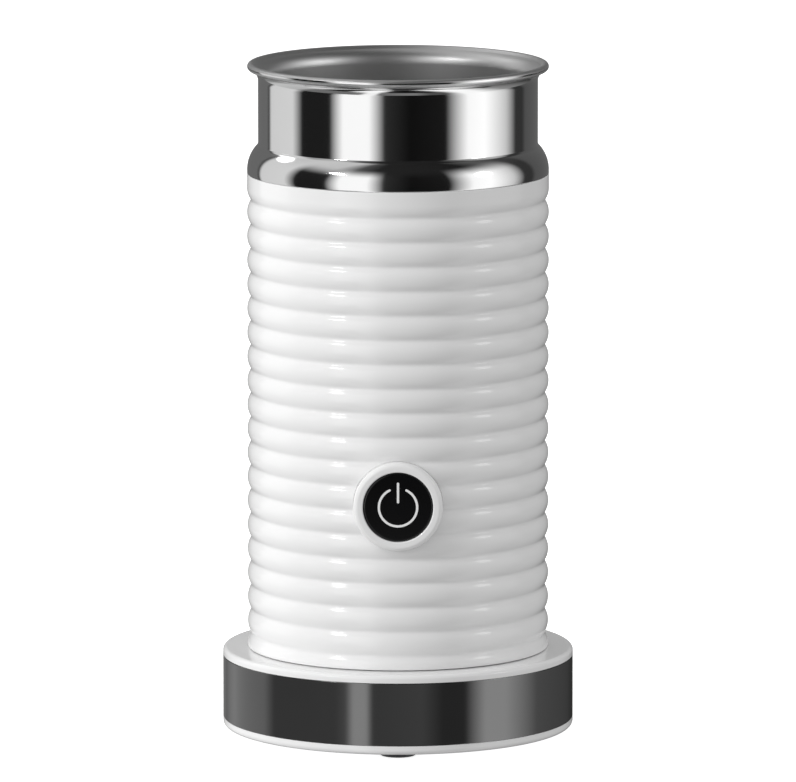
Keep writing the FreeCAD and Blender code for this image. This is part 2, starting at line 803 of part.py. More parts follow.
def rib_count():
    """How many whole ribs fit between the top land and the foot of the sleeve."""
    return int((value("sleeve_height") - value("top_land")) / value("rib_pitch")) + 1


def outer_sleeve():
    """White ribbed wall of the jug, with the round opening for the button."""
    body = turned("sleeve", [
        (SLEEVE_BORE, JUG_FLOOR),
        ("crest_radius", JUG_FLOOR),
        ("crest_radius", SLEEVE_TOP),
        (SLEEVE_BORE, SLEEVE_TOP),
    ])
    middle = f"({SLEEVE_TOP} - top_land)"
    half = "((rib_pitch - crest_land) / 2)"
    lip = "(valley_round * valley_lip)"
    foot = "crest_radius - rib_depth * valley_share"
    outline = [
        ("crest_radius + overrun", f"{middle} - {half}"),
        ("crest_radius + overrun", f"{middle} + {half}"),
        ("crest_radius", f"{middle} + {half}", "rib_round", 1),
        (foot, f"{middle} + {lip}", "valley_round", -1),
        (foot, f"{middle} - {lip}", "rib_round", 1),
        ("crest_radius", f"{middle} - {half}"),
    ]
    sketch = sketch_on(body, "valley_outline", "XZ_Plane", [outline])
    groove = body.newObject("PartDesign::Groove", "valley")
    groove.Profile = sketch
    groove.ReferenceAxis = (sketch, ["V_Axis"])
    groove.Angle = FULL_TURN
    doc.recompute()
    rows = body.newObject("PartDesign::LinearPattern", "valleys")
    rows.Originals = [groove]
    rows.Direction = (sketch, ["V_Axis"])
    rows.Reversed = True
    rows.Occurrences = rib_count()
    bind(rows, "Length", f"rib_pitch * {rib_count() - 1}")
    body.Tip = rows
    hole = rod_inward("bezel_hole", f"{BEZEL_RADIUS} + bezel_gap", BEZEL_FRONT, BEZEL_BACK, z=BUTTON_AXIS)
    return node(cut("sleeve_with_hole", body, [hole]), "outer_sleeve")


def steel_collar():
    """Steel shoulder and neck, flared under the pot's rolled rim."""
    drop = f"({SHOULDER_RADIUS} - {NECK_RADIUS})"
    curve = f"(({drop} ^ 2 + shoulder_rise ^ 2) / (2 * {drop}))"
    inner_curve = f"({curve} - steel_sheet)"
    inner_rise = f"sqrt({inner_curve} ^ 2 - ({NECK_BORE} - {SHOULDER_RADIUS} + {curve}) ^ 2)"
    outer_end = (f"{NECK_RADIUS} + flare_radius * (1 - cos(collar_flare))",
                 f"{NECK_TOP} + flare_radius * sin(collar_flare)")
    bore_end = (f"{NECK_RADIUS} + flare_radius - (flare_radius + steel_sheet) * cos(collar_flare)",
                f"{NECK_TOP} + (flare_radius + steel_sheet) * sin(collar_flare)")
    hem = f"{POT_OUTER} + seal_gap + seal_wall + hem_gap"
    collar = turned("collar", [
        (hem, SLEEVE_TOP),
        (SHOULDER_RADIUS, SLEEVE_TOP),
        (SHOULDER_RADIUS, SHOULDER_START, curve, 1),
        (NECK_RADIUS, NECK_FOOT),
        (NECK_RADIUS, NECK_TOP, "flare_radius", -1),
        outer_end,
        (bore_end[0], bore_end[1], "flare_radius + steel_sheet", 1),
        (NECK_BORE, NECK_TOP),
        (NECK_BORE, f"{SHOULDER_START} + {inner_rise}", inner_curve, -1),
        (f"{SHOULDER_RADIUS} - steel_sheet", SHOULDER_START),
        (f"{SHOULDER_RADIUS} - steel_sheet", f"{SLEEVE_TOP} + steel_sheet"),
        (hem, f"{SLEEVE_TOP} + steel_sheet"),
    ])
    return node(collar, "steel_collar")


def collar_seal():
    """Silicone ring between the collar's hem and the pot."""
    inner = f"{POT_OUTER} + seal_gap"
    ring = tube("seal", f"{inner} + seal_wall", inner, SLEEVE_TOP, f"{SLEEVE_TOP} + seal_height")
    return node(ring, "collar_seal")


def inner_pot():
    """Drawn steel pot: flat bottom, round corner, flared mouth and rolled rim."""
    outer_flare = "(flare_radius + steel_sheet + pot_gap)"
    inner_flare = f"({outer_flare} + steel_sheet)"
    axis = f"({NECK_RADIUS} + flare_radius)"
    outer_end = (f"{axis} - {outer_flare} * cos(pot_flare)", f"{NECK_TOP} + {outer_flare} * sin(pot_flare)")
    inner_end = (f"{axis} - {inner_flare} * cos(pot_flare)", f"{NECK_TOP} + {inner_flare} * sin(pot_flare)")
    wall = turned("pot_wall", [
        ("0", POT_BOTTOM),
        (f"{POT_OUTER} - pot_corner", POT_BOTTOM, "pot_corner", 1),
        (POT_OUTER, f"{POT_BOTTOM} + pot_corner"),
        (POT_OUTER, NECK_TOP, outer_flare, -1),
        outer_end,
        (inner_end[0], inner_end[1], inner_flare, 1),
        (POT_BORE, NECK_TOP),
        (POT_BORE, f"{POT_BOTTOM} + pot_corner", "pot_corner - steel_sheet", -1),
        (f"{POT_OUTER} - pot_corner", POT_INSIDE),
        ("0", POT_INSIDE),
    ])
    bead = doc.addObject("Part::Torus", "pot_bead")
    bind(bead, "Radius1", f"{NECK_RADIUS} + bead_reach")
    bind(bead, "Radius2", "bead_radius")
    place(bead, z=BEAD_HEIGHT)
    return node(fuse("pot", [wall, bead]), "inner_pot")


def whisk_spindle():
    """Steel peg in the middle of the pot's floor that the whisk turns on."""
    top = f"{POT_INSIDE} + spindle_height"
    return node(cylinder("spindle", "spindle_radius", POT_INSIDE, top), "whisk_spindle")


def heating():
    """Aluminium plate, its sheathed element, the heat shield and the studs."""
    node(tube("heater_ring", PLATE_RADIUS, PLATE_BORE, PLATE_LOW, POT_BOTTOM), "heater_plate")
    arc = doc.addObject("Part::Torus", "element_arc")
    bind(arc, "Radius1", ELEMENT_CIRCLE)
    bind(arc, "Radius2", "element_tube")
    bind(arc, "Angle3", "element_span")
    turn = FreeCAD.Rotation(FreeCAD.Vector(0, 0, 1), TAIL_ANGLES[1])
    arc.Placement = FreeCAD.Placement(FreeCAD.Vector(), turn)
    place(arc, z=ELEMENT_MIDDLE)
    tail_low = f"{CHASSIS_TOP} + tail_gap"
    tails = at_angles(
        lambda name, x, y: cylinder(name, "element_tube / 2", tail_low, ELEMENT_MIDDLE, x, y),
        "element_tail", ELEMENT_CIRCLE, TAIL_ANGLES)
    node(fuse("element", [arc] + tails), "heater_element")
    shield = tube("shield_disc", f"{SLEEVE_BORE} - shield_gap", "carrier_radius + shield_gap",
                  SHIELD_LOW, SHIELD_TOP)
    holes = at_angles(
        lambda name, x, y: cylinder(name, "screw_radius + 2 * hole_gap", CHASSIS_TOP, POT_BOTTOM, x, y),
        "shield_stud_hole", STUD_CIRCLE, STUD_ANGLES)
    holes += at_angles(
        lambda name, x, y: cylinder(name, "element_tube / 2 + loose_gap", CHASSIS_TOP, POT_BOTTOM, x, y),
        "shield_tail_hole", ELEMENT_CIRCLE, TAIL_ANGLES)
    holes.append(cylinder("shield_sensor_hole", "sensor_radius + loose_gap", CHASSIS_TOP, POT_BOTTOM,
                          *polar(SENSOR_CIRCLE, SENSOR_ANGLE)))
    holes.append(button_room("shield_notch", f"{BEZEL_BACK} + overrun", f"{SHIELD_LOW} - overrun", PLATE_LOW))
    node(cut("shield", shield, holes), "heat_shield")


def pot_studs():
    """Studs welded under the heater plate, with spacers that carry the shield."""
    def stud(name, x, y):
        rod = cylinder(f"{name}_rod", "screw_radius", f"{CHASSIS_LOW} - stud_tail", PLATE_LOW, x, y)
        spacer = cylinder(f"{name}_spacer", "screw_head", CHASSIS_TOP, SHIELD_LOW, x, y)
        nut = cylinder(f"{name}_nut", "screw_head", f"{CHASSIS_LOW} - nut_height", CHASSIS_LOW, x, y)
        return fuse(name, [rod, spacer, nut])
    return node(group("studs", at_angles(stud, "stud", STUD_CIRCLE, STUD_ANGLES)), "pot_studs")


def temperature_sensor():
    """Sensor can pressed up against the heater plate, on its stalk."""
    x, y = polar(SENSOR_CIRCLE, SENSOR_ANGLE)
    low = f"{PLATE_LOW} - sensor_height"
    can = cylinder("sensor_can", "sensor_radius", low, PLATE_LOW, x, y)
    stalk = cylinder("sensor_stalk", "sensor_radius / 2", CHASSIS_TOP, f"{low} + weld", x, y)
    return node(fuse("sensor", [can, stalk]), "temperature_sensor")


def thermal_fuse():
    """Over-heat fuse clipped under the heater plate."""
    x, y = polar(FUSE_CIRCLE, FUSE_ANGLE)
    barrel = doc.addObject("Part::Cylinder", "fuse_barrel")
    turn = FreeCAD.Rotation(FreeCAD.Vector(0, 1, 0), 90)
    barrel.Placement = FreeCAD.Placement(FreeCAD.Vector(), turn)
    bind(barrel, "Radius", "fuse_radius")
    bind(barrel, "Height", "fuse_length")
    place(barrel, "0 - fuse_length / 2", y, f"{PLATE_LOW} - fuse_radius")
    clip = box("fuse_clip", ("0 - clip_width / 2", "clip_width / 2"),
               (f"({y}) - clip_depth / 2", f"({y}) + clip_depth / 2"),
               (f"{PLATE_LOW} - clip_height", PLATE_LOW))
    return node(fuse("fuse", [barrel, clip]), "thermal_fuse")


def whisk():
    """Whisk hub with its lifting knob, the magnets in it and the froth coil."""
    low = f"({POT_INSIDE} + hub_gap)"
    top = f"({low} + hub_height)"
    knob = f"({low} + stem_height)"
    bore = "spindle_radius + spindle_gap"
    body = turned("hub", [
        (bore, low),
        ("hub_flange", low),
        ("hub_flange", f"{low} + hub_plate"),
        ("hub_radius", f"{low} + hub_plate"),
        ("hub_radius", f"{top} - hub_chamfer"),
        ("hub_radius - hub_chamfer", top),
        ("stem_radius + stem_round", top, "stem_round", -1),
        ("stem_radius", f"{top} + stem_round"),
        ("stem_radius", f"{knob} - knob_half"),
        ("knob_radius", f"{knob} - knob_band"),
        ("knob_radius", f"{knob} + knob_band"),
        ("knob_radius - knob_chamfer", f"{knob} + knob_half"),
        ("0", f"{knob} + knob_half"),
        ("0", f"{low} + spindle_height"),
        (bore, f"{low} + spindle_height"),
    ])
    magnet_low = f"{low} + hub_skin"
    pockets = at_angles(
        lambda name, x, y: cylinder(name, "magnet_radius + thread_gap", f"{low} - overrun",
                                    f"{magnet_low} + magnet_height", x, y),
        "hub_pocket", "magnet_circle", MAGNET_ANGLES)
    node(cut("hub_with_pockets", body, pockets), "whisk_hub")
    magnets = at_angles(
        lambda name, x, y: cylinder(name, "magnet_radius", magnet_low, f"{magnet_low} + magnet_height", x, y),
        "hub_magnet", "magnet_circle", MAGNET_ANGLES)
    node(group("hub_magnets", magnets), "whisk_magnets")
    coil = doc.addObject("Part::Torus", "coil_ring")
    bind(coil, "Radius1", "hub_radius + coil_gap + coil_tube")
    bind(coil, "Radius2", "coil_tube")
    place(coil, z=f"{low} + hub_plate + coil_gap + coil_tube")
    node(coil, "froth_coil")


def drive():
    """Magnet carrier on the motor shaft, right under the pot's floor."""
    bore = "shaft_radius + thread_gap"
    hub_low = f"({CARRIER_LOW} - carrier_hub)"
    body = turned("carrier", [
        (bore, hub_low),
        ("shaft_radius + carrier_hub_wall", hub_low),
        ("shaft_radius + carrier_hub_wall", CARRIER_LOW),
        ("carrier_radius", CARRIER_LOW),
        ("carrier_radius", CARRIER_TOP),
        (bore, CARRIER_TOP),
    ])
    seat = f"{CARRIER_TOP} - magnet_height - carrier_skin"
    pockets = at_angles(
        lambda name, x, y: cylinder(name, "magnet_radius + thread_gap", seat, f"{CARRIER_TOP} + overrun", x, y),
        "carrier_pocket", "magnet_circle", MAGNET_ANGLES)
    node(cut("carrier_with_pockets", body, pockets), "magnet_carrier")
    magnets = at_angles(
        lambda name, x, y: cylinder(name, "magnet_radius", seat, f"{CARRIER_TOP} - carrier_skin", x, y),
        "carrier_magnet", "magnet_circle", MAGNET_ANGLES)
    node(group("carrier_magnets", magnets), "drive_magnets")


def button_room(name, back, low, high):
    """The room that a plate leaves at its front edge for the button's works."""
    half = f"({BEZEL_RADIUS} + bezel_flange + notch_gap)"
    return box(name, (f"0 - {half}", half), ("0 - crest_radius", back), (low, high))


def motor_chassis():
    """Moulded plate that carries the motor, on three struts from the jug's floor."""
    plate = cylinder("chassis_disc", CHASSIS_RADIUS, CHASSIS_LOW, CHASSIS_TOP)
    struts = at_angles(
        lambda name, x, y: cylinder(name, "strut_radius", COVER_TOP, f"{CHASSIS_LOW} + weld", x, y),
        "strut", STRUT_CIRCLE, STRUT_ANGLES)
    pilots = at_angles(
        lambda name, x, y: cylinder(name, THREAD_BORE, f"{COVER_TOP} - overrun",
                                    f"{COVER_TOP} + strut_pilot", x, y),
        "strut_hole", STRUT_CIRCLE, STRUT_ANGLES)
    under, over = f"{CHASSIS_LOW} - overrun", f"{CHASSIS_TOP} + overrun"
    holes = at_angles(
        lambda name, x, y: cylinder(name, "screw_radius + hole_gap", under, over, x, y),
        "chassis_stud_hole", STUD_CIRCLE, STUD_ANGLES)
    holes += at_angles(
        lambda name, x, y: cylinder(name, "motor_screw_radius + hole_gap", under, over, x, y),
        "motor_screw_hole", "motor_screw_circle", MOTOR_SCREW_ANGLES)
    shaft_hole = cylinder("chassis_shaft_hole", f"{BUSH} + bush_room", under, over)
    notch = button_room("chassis_notch", f"{SWITCH_BACK} + board_sheet + notch_back", under, over)
    solid = fuse("chassis_solid", [plate] + struts)
    return node(cut("chassis", solid, pilots + holes + [shaft_hole, notch]), "motor_chassis")


def spoke(name, angle, start, end, width, low, high):
    """A box that points away from the axis at an angle, between two radii."""
    piece = box(name, ("0", f"({end}) - ({start})"), ("0", width), (low, high))
    piece.Placement = FreeCAD.Placement(FreeCAD.Vector(), FreeCAD.Rotation(FreeCAD.Vector(0, 0, 1), angle))
    x = f"({start}) * cos({angle}) + {width} / 2 * sin({angle})"
    y = f"({start}) * sin({angle}) - {width} / 2 * cos({angle})"
    place(piece, x, y, low)
    return piece


def motor():
    """Small brushed motor hung under the chassis plate."""
    top, low = CHASSIS_LOW, MOTOR_LOW
    inside = "(motor_radius - motor_wall)"
    can = turned("can", [
        (f"{BUSH} + thread_gap", f"{top} - motor_wall"),
        (inside, f"{top} - motor_wall"),
        (inside, low),
        ("motor_radius", low),
        ("motor_radius", top),
        (f"{BUSH} + thread_gap", top),
    ])
    can_holes = at_angles(
        lambda name, x, y: cylinder(name, "motor_screw_radius + thread_gap", f"{top} - motor_wall - overrun",
                                    f"{top} + overrun", x, y),
        "can_hole", "motor_screw_circle", MOTOR_SCREW_ANGLES)
    node(cut("can_with_holes", can, can_holes), "motor_can")
    node(tube("end_cap", f"{inside} - thread_gap", f"{BUSH} + thread_gap", low, f"{low} + end_cap_wall"),
         "motor_end_cap")
    bushes = [
        tube("front_bushing", BUSH, "shaft_radius + running_gap", f"{top} - front_bush", top),
        tube("rear_bushing", BUSH, "shaft_radius + running_gap", low, f"{low} + rear_bush"),
    ]
    node(group("bushes", bushes), "motor_bushes")
    shaft = cylinder("shaft", "shaft_radius", f"{low} - shaft_tail", f"{CARRIER_TOP} - carrier_skin")
    node(shaft, "motor_shaft")
    core_low = f"({low} + armature_place)"
    core_high = f"({core_low} + armature_height)"
    core = tube("core", "armature_radius", "shaft_radius + thread_gap", core_low, core_high)
    slots = [
        spoke(f"core_slot_{number}", angle, "slot_start", "armature_radius + overrun", "slot_width",
              f"{core_low} - overrun", f"{core_high} + overrun")
        for number, angle in enumerate(TOOTH_ANGLES)
    ]
    coils = [
        spoke(f"coil_{number}", angle, "winding_start", "armature_radius - winding_inset", "winding_width",
              f"{core_low} - winding_rise", f"{core_high} + winding_rise")
        for number, angle in enumerate(TOOTH_ANGLES)
    ]
    node(cut("core_with_slots", core, slots), "armature_core")
    node(group("coils", coils), "armature_windings")
    bars = tube("bars", "commutator_radius", "shaft_radius + thread_gap", f"{low} + commutator_place",
                f"{core_low} - commutator_gap")
    node(bars, "commutator")
    magnets = [
        arc_strip(f"stator_{side}", f"{inside} - thread_gap", "armature_radius + magnet_gap",
                  f"{core_low} - stator_rise", f"{core_high} + stator_rise", side, "stator_span")
        for side in MAGNET_ANGLES
    ]
    node(group("stator", magnets), "stator_magnets")
    brush_low = f"{low} + brush_place"
    brush_face = "commutator_radius + running_gap"
    brushes = [
        spoke(f"brush_{number}", angle, brush_face, f"{brush_face} + brush_length", "brush_width",
              brush_low, f"{brush_low} + brush_height")
        for number, angle in enumerate(MAGNET_ANGLES)
    ]
    node(group("brushes", brushes), "motor_brushes")
    screws = []
    for number, angle in enumerate(MOTOR_SCREW_ANGLES):
        x, y = polar("motor_screw_circle", angle)
        head = cylinder(f"motor_head_{number}", "motor_screw_head", CHASSIS_TOP,
                        f"{CHASSIS_TOP} + motor_screw_cap", x, y)
        shank = cylinder(f"motor_shank_{number}", "motor_screw_radius", f"{top} - motor_screw_tip",
                         f"{CHASSIS_TOP} + weld", x, y)
        screws.append(fuse(f"motor_screw_{number}", [head, shank]))
    node(group("screws_of_motor", screws), "motor_screws")


def jug_bottom_cover():
    """White floor of the jug around the coupler's well."""
    edge = f"({SLEEVE_BORE} - floor_gap)"
    under = f"{COVER_LOW} - overrun"
    disc = turned("jug_floor", [
        (WELL_BORE, COVER_LOW),
        (edge, COVER_LOW),
        (edge, f"{COVER_TOP} + floor_rim"),
        (f"{edge} - floor_rim_wall", f"{COVER_TOP} + floor_rim"),
        (f"{edge} - floor_rim_wall", COVER_TOP),
        (WELL_OUTER, COVER_TOP),
        (WELL_OUTER, CONNECTOR_LOW),
        (WELL_BORE, CONNECTOR_LOW),
    ])
    bosses = at_angles(
        lambda name, x, y: cylinder(name, "boss_radius", f"{COVER_TOP} - weld", CONNECTOR_LOW, x, y),
        "connector_boss", EAR_CIRCLE, EAR_ANGLES)
    pilots = at_angles(
        lambda name, x, y: cylinder(name, THREAD_BORE, COVER_TOP, f"{CONNECTOR_LOW} + overrun", x, y),
        "connector_pilot", EAR_CIRCLE, EAR_ANGLES)
    pilots += at_angles(
        lambda name, x, y: cylinder(name, "screw_radius + hole_gap", under, f"{COVER_TOP} + overrun", x, y),
        "floor_screw_hole", STRUT_CIRCLE, STRUT_ANGLES)
    pilots += at_angles(
        lambda name, x, y: cylinder(name, "screw_head + hole_gap", under, f"{COVER_LOW} + recess_depth", x, y),
        "floor_screw_recess", STRUT_CIRCLE, STRUT_ANGLES)
    solid = fuse("jug_floor_solid", [disc] + bosses)
    return node(cut("jug_floor_with_holes", solid, pilots), "jug_bottom_cover")


def jug_bottom_screws():
    """Three screws from under the jug into the chassis struts."""
    def low_screw(name, x, y):
        seat = f"{COVER_LOW} + recess_depth"
        head = cylinder(f"{name}_head", "screw_head", f"{COVER_LOW} + head_inset", seat, x, y)
        shank = cylinder(f"{name}_shank", "screw_radius", f"{seat} - weld", f"{COVER_TOP} + strut_screw", x, y)
        return fuse(name, [head, shank])
    screws = at_angles(low_screw, "jug_screw", STRUT_CIRCLE, STRUT_ANGLES)
    return node(group("screws_of_jug", screws), "jug_bottom_screws")


def jug_connector():
    """Connector under the jug: its body, live pin, neutral ring and earth ring."""
    under, over = f"{CONNECTOR_LOW} - overrun", f"{CONNECTOR_TOP} + overrun"
    ear_top = f"{CONNECTOR_LOW} + ear_plate"
    disc = cylinder("connector_disc", f"{WELL_OUTER} + connector_edge", CONNECTOR_LOW, CONNECTOR_TOP)
    ears = at_angles(
        lambda name, x, y: cylinder(name, "boss_radius + connector_edge", CONNECTOR_LOW, ear_top, x, y),
        "connector_ear", EAR_CIRCLE, EAR_ANGLES)
    holes = at_angles(
        lambda name, x, y: cylinder(name, "screw_radius + hole_gap", under, over, x, y),
        "connector_hole", EAR_CIRCLE, EAR_ANGLES)
    holes += at_angles(
        lambda name, x, y: cylinder(name, "screw_head + hole_gap", ear_top, over, x, y),
        "connector_head_room", EAR_CIRCLE, EAR_ANGLES)
    grip_top = f"{CONNECTOR_LOW} + ring_grip"
    low = f"{COUPLER_TOP} - ring_reach"
    pin_hole = cylinder("pin_seat", "live_pin_radius", under, over)
    neutral_seat = tube("neutral_seat", f"{NEUTRAL_RING} + ring_wall", NEUTRAL_RING, under, grip_top)
    earth_seat = tube("earth_seat", f"{EARTH_RING} + ring_wall", EARTH_RING, under, grip_top)
    node(cut("connector", fuse("connector_solid", [disc] + ears), holes + [pin_hole, neutral_seat, earth_seat]),
         "jug_connector")
    node(cylinder("pin", "live_pin_radius", low, f"{CONNECTOR_TOP} + pin_tail"), "live_pin")
    node(tube("neutral", f"{NEUTRAL_RING} + ring_wall", NEUTRAL_RING, low, grip_top), "neutral_ring")
    node(tube("earth", f"{EARTH_RING} + ring_wall", EARTH_RING, low, grip_top), "earth_ring")

    def top_screw(name, x, y):
        head = cylinder(f"{name}_head", "screw_head", ear_top, f"{ear_top} + ear_screw_cap", x, y)
        shank = cylinder(f"{name}_shank", "screw_radius", f"{COVER_TOP} + ear_screw_start",
                         f"{ear_top} + weld", x, y)
        return fuse(name, [head, shank])
    screws = at_angles(top_screw, "connector_screw", EAR_CIRCLE, EAR_ANGLES)
    node(group("screws_of_connector", screws), "connector_screws")


# ------------------------------------------------------------------ button


def button_bezel():
    """White ring around the button; a flange and two posts inside the jug."""
    flange_front = f"({BEZEL_BACK} - bezel_flange_wall)"
    web_front = f"({BEZEL_BACK} - bezel_web)"
    ring = turned("bezel", [
        ("cap_radius + cap_gap", f"{BEZEL_FRONT} + bezel_round / 2"),
        ("cap_radius + cap_gap + bezel_round / 2", BEZEL_FRONT),
        (f"{BEZEL_RADIUS} - bezel_round", BEZEL_FRONT, "bezel_round", 1),
        (BEZEL_RADIUS, f"{BEZEL_FRONT} + bezel_round"),
        (BEZEL_RADIUS, flange_front),
        (f"{BEZEL_RADIUS} + bezel_flange", flange_front),
        (f"{BEZEL_RADIUS} + bezel_flange", BEZEL_BACK),
        ("plunger_radius + plunger_gap", BEZEL_BACK),
        ("plunger_radius + plunger_gap", web_front),
        ("cap_radius + cap_gap", web_front),
    ], "XY_Plane")
    place(ring, z=BUTTON_AXIS)
    posts = [
        rod_inward(f"bezel_post_{number}", "post_radius", f"{BEZEL_BACK} - weld", SWITCH_BACK, x, BUTTON_AXIS)
        for number, x in enumerate(POST_PLACES)
    ]
    pilots = [
        rod_inward(f"bezel_pilot_{number}", "board_screw_radius + thread_gap", BEZEL_BACK,
                   f"{SWITCH_BACK} + overrun", x, BUTTON_AXIS)
        for number, x in enumerate(POST_PLACES)
    ]
    return node(cut("bezel_with_pilots", fuse("bezel_solid", [ring] + posts), pilots), "button_bezel")


def icon_prism(name, front, back, grow):
    """The on/off sign between two depths, made a little larger by grow."""
    ring = doc.addObject("PartDesign::Body", f"{name}_ring")
    angle = "icon_opening"
    far, near = f"(icon_radius + icon_stroke / 2 + {grow})", f"(icon_radius - icon_stroke / 2 - {grow})"
    arc = [
        (f"{far} * sin({angle})", f"{far} * cos({angle})", far, -1),
        ("0", f"0 - {far}", far, -1),
        (f"0 - {far} * sin({angle})", f"{far} * cos({angle})"),
        (f"0 - {near} * sin({angle})", f"{near} * cos({angle})", near, 1),
        ("0", f"0 - {near}", near, 1),
        (f"{near} * sin({angle})", f"{near} * cos({angle})"),
    ]
    half = f"(icon_stroke / 2 + {grow})"
    low, high = f"(icon_bar_start - {grow})", f"(icon_bar + {grow})"
    bar = [(f"0 - {half}", low), (half, low), (half, high), (f"0 - {half}", high)]
    sketch = sketch_on(ring, f"{name}_outline", "XZ_Plane", [arc, bar])
    pad = ring.newObject("PartDesign::Pad", f"{name}_pad")
    pad.Profile = sketch
    bind(pad, "Length", f"({back}) - ({front})")
    place(ring, "0", back, BUTTON_AXIS)
    return ring


def push_button():
    """Black cap, its light guide with the sign, and the switch plunger."""
    recess_back = f"({CAP_FRONT} + guide_depth)"
    cap = turned("cap", [
        ("0", CAP_FRONT),
        ("cap_radius - cap_edge", CAP_FRONT, "cap_edge", 1),
        ("cap_radius", f"{CAP_FRONT} + cap_edge"),
        ("cap_radius", f"{CAP_FRONT} + cap_skirt"),
        ("cap_radius - cap_skirt_wall", f"{CAP_FRONT} + cap_skirt"),
        ("cap_radius - cap_skirt_wall", CAP_BACK),
        ("0", CAP_BACK),
    ], "XY_Plane")
    place(cap, z=BUTTON_AXIS)
    sign_slot = icon_prism("sign_slot", f"{CAP_FRONT} - overrun", f"{CAP_BACK} + overrun", "sign_gap")
    node(cut("cap_with_sign", cap, [sign_slot]), "button_cap")
    guide_disc = rod_inward("guide_disc", "icon_radius + guide_edge", CAP_BACK, recess_back, z=BUTTON_AXIS)
    sign = icon_prism("sign", CAP_FRONT, f"{CAP_BACK} + weld", "0")
    node(fuse("light_guide", [guide_disc, sign]), "icon_light_guide")
    plunger_end = f"{SWITCH_FRONT} + plunger_reach"
    plunger = rod_inward("plunger_rod", "plunger_radius", recess_back, plunger_end, z=BUTTON_AXIS)
    node(plunger, "switch_plunger")


def switch_and_board():
    """Push switch on its small board behind the bezel, with two screws."""
    half = "switch_size / 2"
    low, high = f"{BUTTON_AXIS} - {half}", f"{BUTTON_AXIS} + {half}"
    body = box("switch_body", (f"0 - {half}", half), (SWITCH_FRONT, SWITCH_BACK), (low, high))
    bore = rod_inward("switch_bore", "plunger_radius + switch_gap", f"{SWITCH_FRONT} - overrun",
                      f"{SWITCH_FRONT} + plunger_reach + button_travel + switch_gap", z=BUTTON_AXIS)
    node(cut("switch", body, [bore]), "push_switch")
    board_back = f"{SWITCH_BACK} + board_sheet"
    reach = "small_board_width / 2"
    board = box("small_board", (f"0 - {reach}", reach), (SWITCH_BACK, board_back),
                (f"{BUTTON_AXIS} - small_board_drop", f"{BUTTON_AXIS} + small_board_rise"))
    holes = [
        rod_inward(f"board_hole_{number}", "board_screw_radius + hole_gap", f"{SWITCH_BACK} - overrun",
                   f"{board_back} + overrun", x, BUTTON_AXIS)
        for number, x in enumerate(POST_PLACES)
    ]
    node(cut("small_board_with_holes", board, holes), "button_board")
    screws = []
    for number, x in enumerate(POST_PLACES):
        head = rod_inward(f"board_head_{number}", "board_screw_head", board_back,
                          f"{board_back} + board_screw_cap", x, BUTTON_AXIS)
        shank = rod_inward(f"board_shank_{number}", "board_screw_radius", f"{BEZEL_BACK} + board_screw_start",
                           f"{board_back} + weld", x, BUTTON_AXIS)
        screws.append(fuse(f"board_screw_{number}", [head, shank]))
    node(group("screws_of_board", screws), "button_board_screws")


# ------------------------------------------------------------- electronics


def control_board():
    """Upright control board behind the motor."""
    board = box("board", ("0 - board_width / 2", "board_width / 2"), ("board_offset", BOARD_BACK),
                (BOARD_LOW, f"{BOARD_LOW} + board_height"))
    return node(board, "control_board")


def board_parts():
    """Relay, capacitor and triac with its cooling plate on the board's back."""
    low = f"({BOARD_LOW} + parts_rise)"
    relay = box("relay_box", ("0 - relay_left", "relay_width - relay_left"),
                (BOARD_BACK, f"{BOARD_BACK} + relay_depth"), (low, f"{low} + relay_height"))
    node(relay, "relay")
    can = rod_inward("capacitor_can", "capacitor_radius", BOARD_BACK, f"{BOARD_BACK} + capacitor_length",
                     "capacitor_place", f"{low} + capacitor_rise")
    node(can, "capacitor")
    front = f"({BOARD_BACK} + cooler_gap)"
    back = f"({front} + cooler_sheet)"
    cooler_low = f"({low} + cooler_rise)"
    cooler_high = f"({cooler_low} + cooler_height)"
    right = "cooler_width - cooler_left"
    plate = box("cooler_plate", ("0 - cooler_left", right), (front, back),
                (cooler_low, cooler_high))
    chip = box("triac_chip", ("0 - chip_left", "chip_width - chip_left"), (back, f"{back} + chip_depth"),
               (f"{cooler_low} + chip_inset", f"{cooler_high} - chip_inset"))
    legs = [
        box(f"cooler_leg_{number}", (x, f"{x} + leg_width"), (BOARD_BACK, f"{front} + weld"),
            (f"{cooler_low} + leg_rise", f"{cooler_low} + leg_rise + leg_height"))
        for number, x in enumerate(("0 - cooler_left + leg_inset", f"{right} - leg_inset - leg_width"))
    ]
    node(fuse("triac_and_cooler", [plate, chip] + legs), "triac_and_cooler")


def lead(points, wire):
    """An insulated lead: straight runs joined by arcs as large as the runs allow."""
    corners = [FreeCAD.Vector(*(value(text) for text in point)) for point in points]
    edges = []
    here = corners[0]
    for number in range(1, len(corners) - 1):
        before = corners[number - 1] - corners[number]
        after = corners[number + 1] - corners[number]
        turn = math.pi - before.getAngle(after)
        trim = 0.45 * min(before.Length, after.Length)
        radius = trim / math.tan(turn / 2)
        before.normalize()
        after.normalize()
        start = corners[number] + before * trim
        end = corners[number] + after * trim
        inward = (before + after).normalize()
        centre = corners[number] + inward * math.hypot(radius, trim)
        middle = centre - inward * radius
        edges.append(Part.LineSegment(here, start).toShape())
        edges.append(Part.Arc(start, middle, end).toShape())
        here = end
    edges.append(Part.LineSegment(here, corners[-1]).toShape())
    path = Part.Wire(edges)
    section = Part.Wire([Part.makeCircle(wire, corners[0], corners[1] - corners[0])])
    return path.makePipeShell([section], True, True)


def internal_leads():
    """The two supply leads from the connector to the control board."""
    rise = f"{CONNECTOR_TOP} + lead_rise"
    shapes = [
        lead([(x, "lead_place", CONNECTOR_TOP), (x, "lead_place", rise), (x, "board_offset", rise)],
             value("lead_radius"))
        for x in ("0 - lead_spread", "lead_spread")
    ]
    piece = doc.addObject("Part::Feature", "leads")
    piece.Shape = Part.makeCompound(shapes)
    node(piece, "supply_leads")


# ------------------------------------------------------------------- build

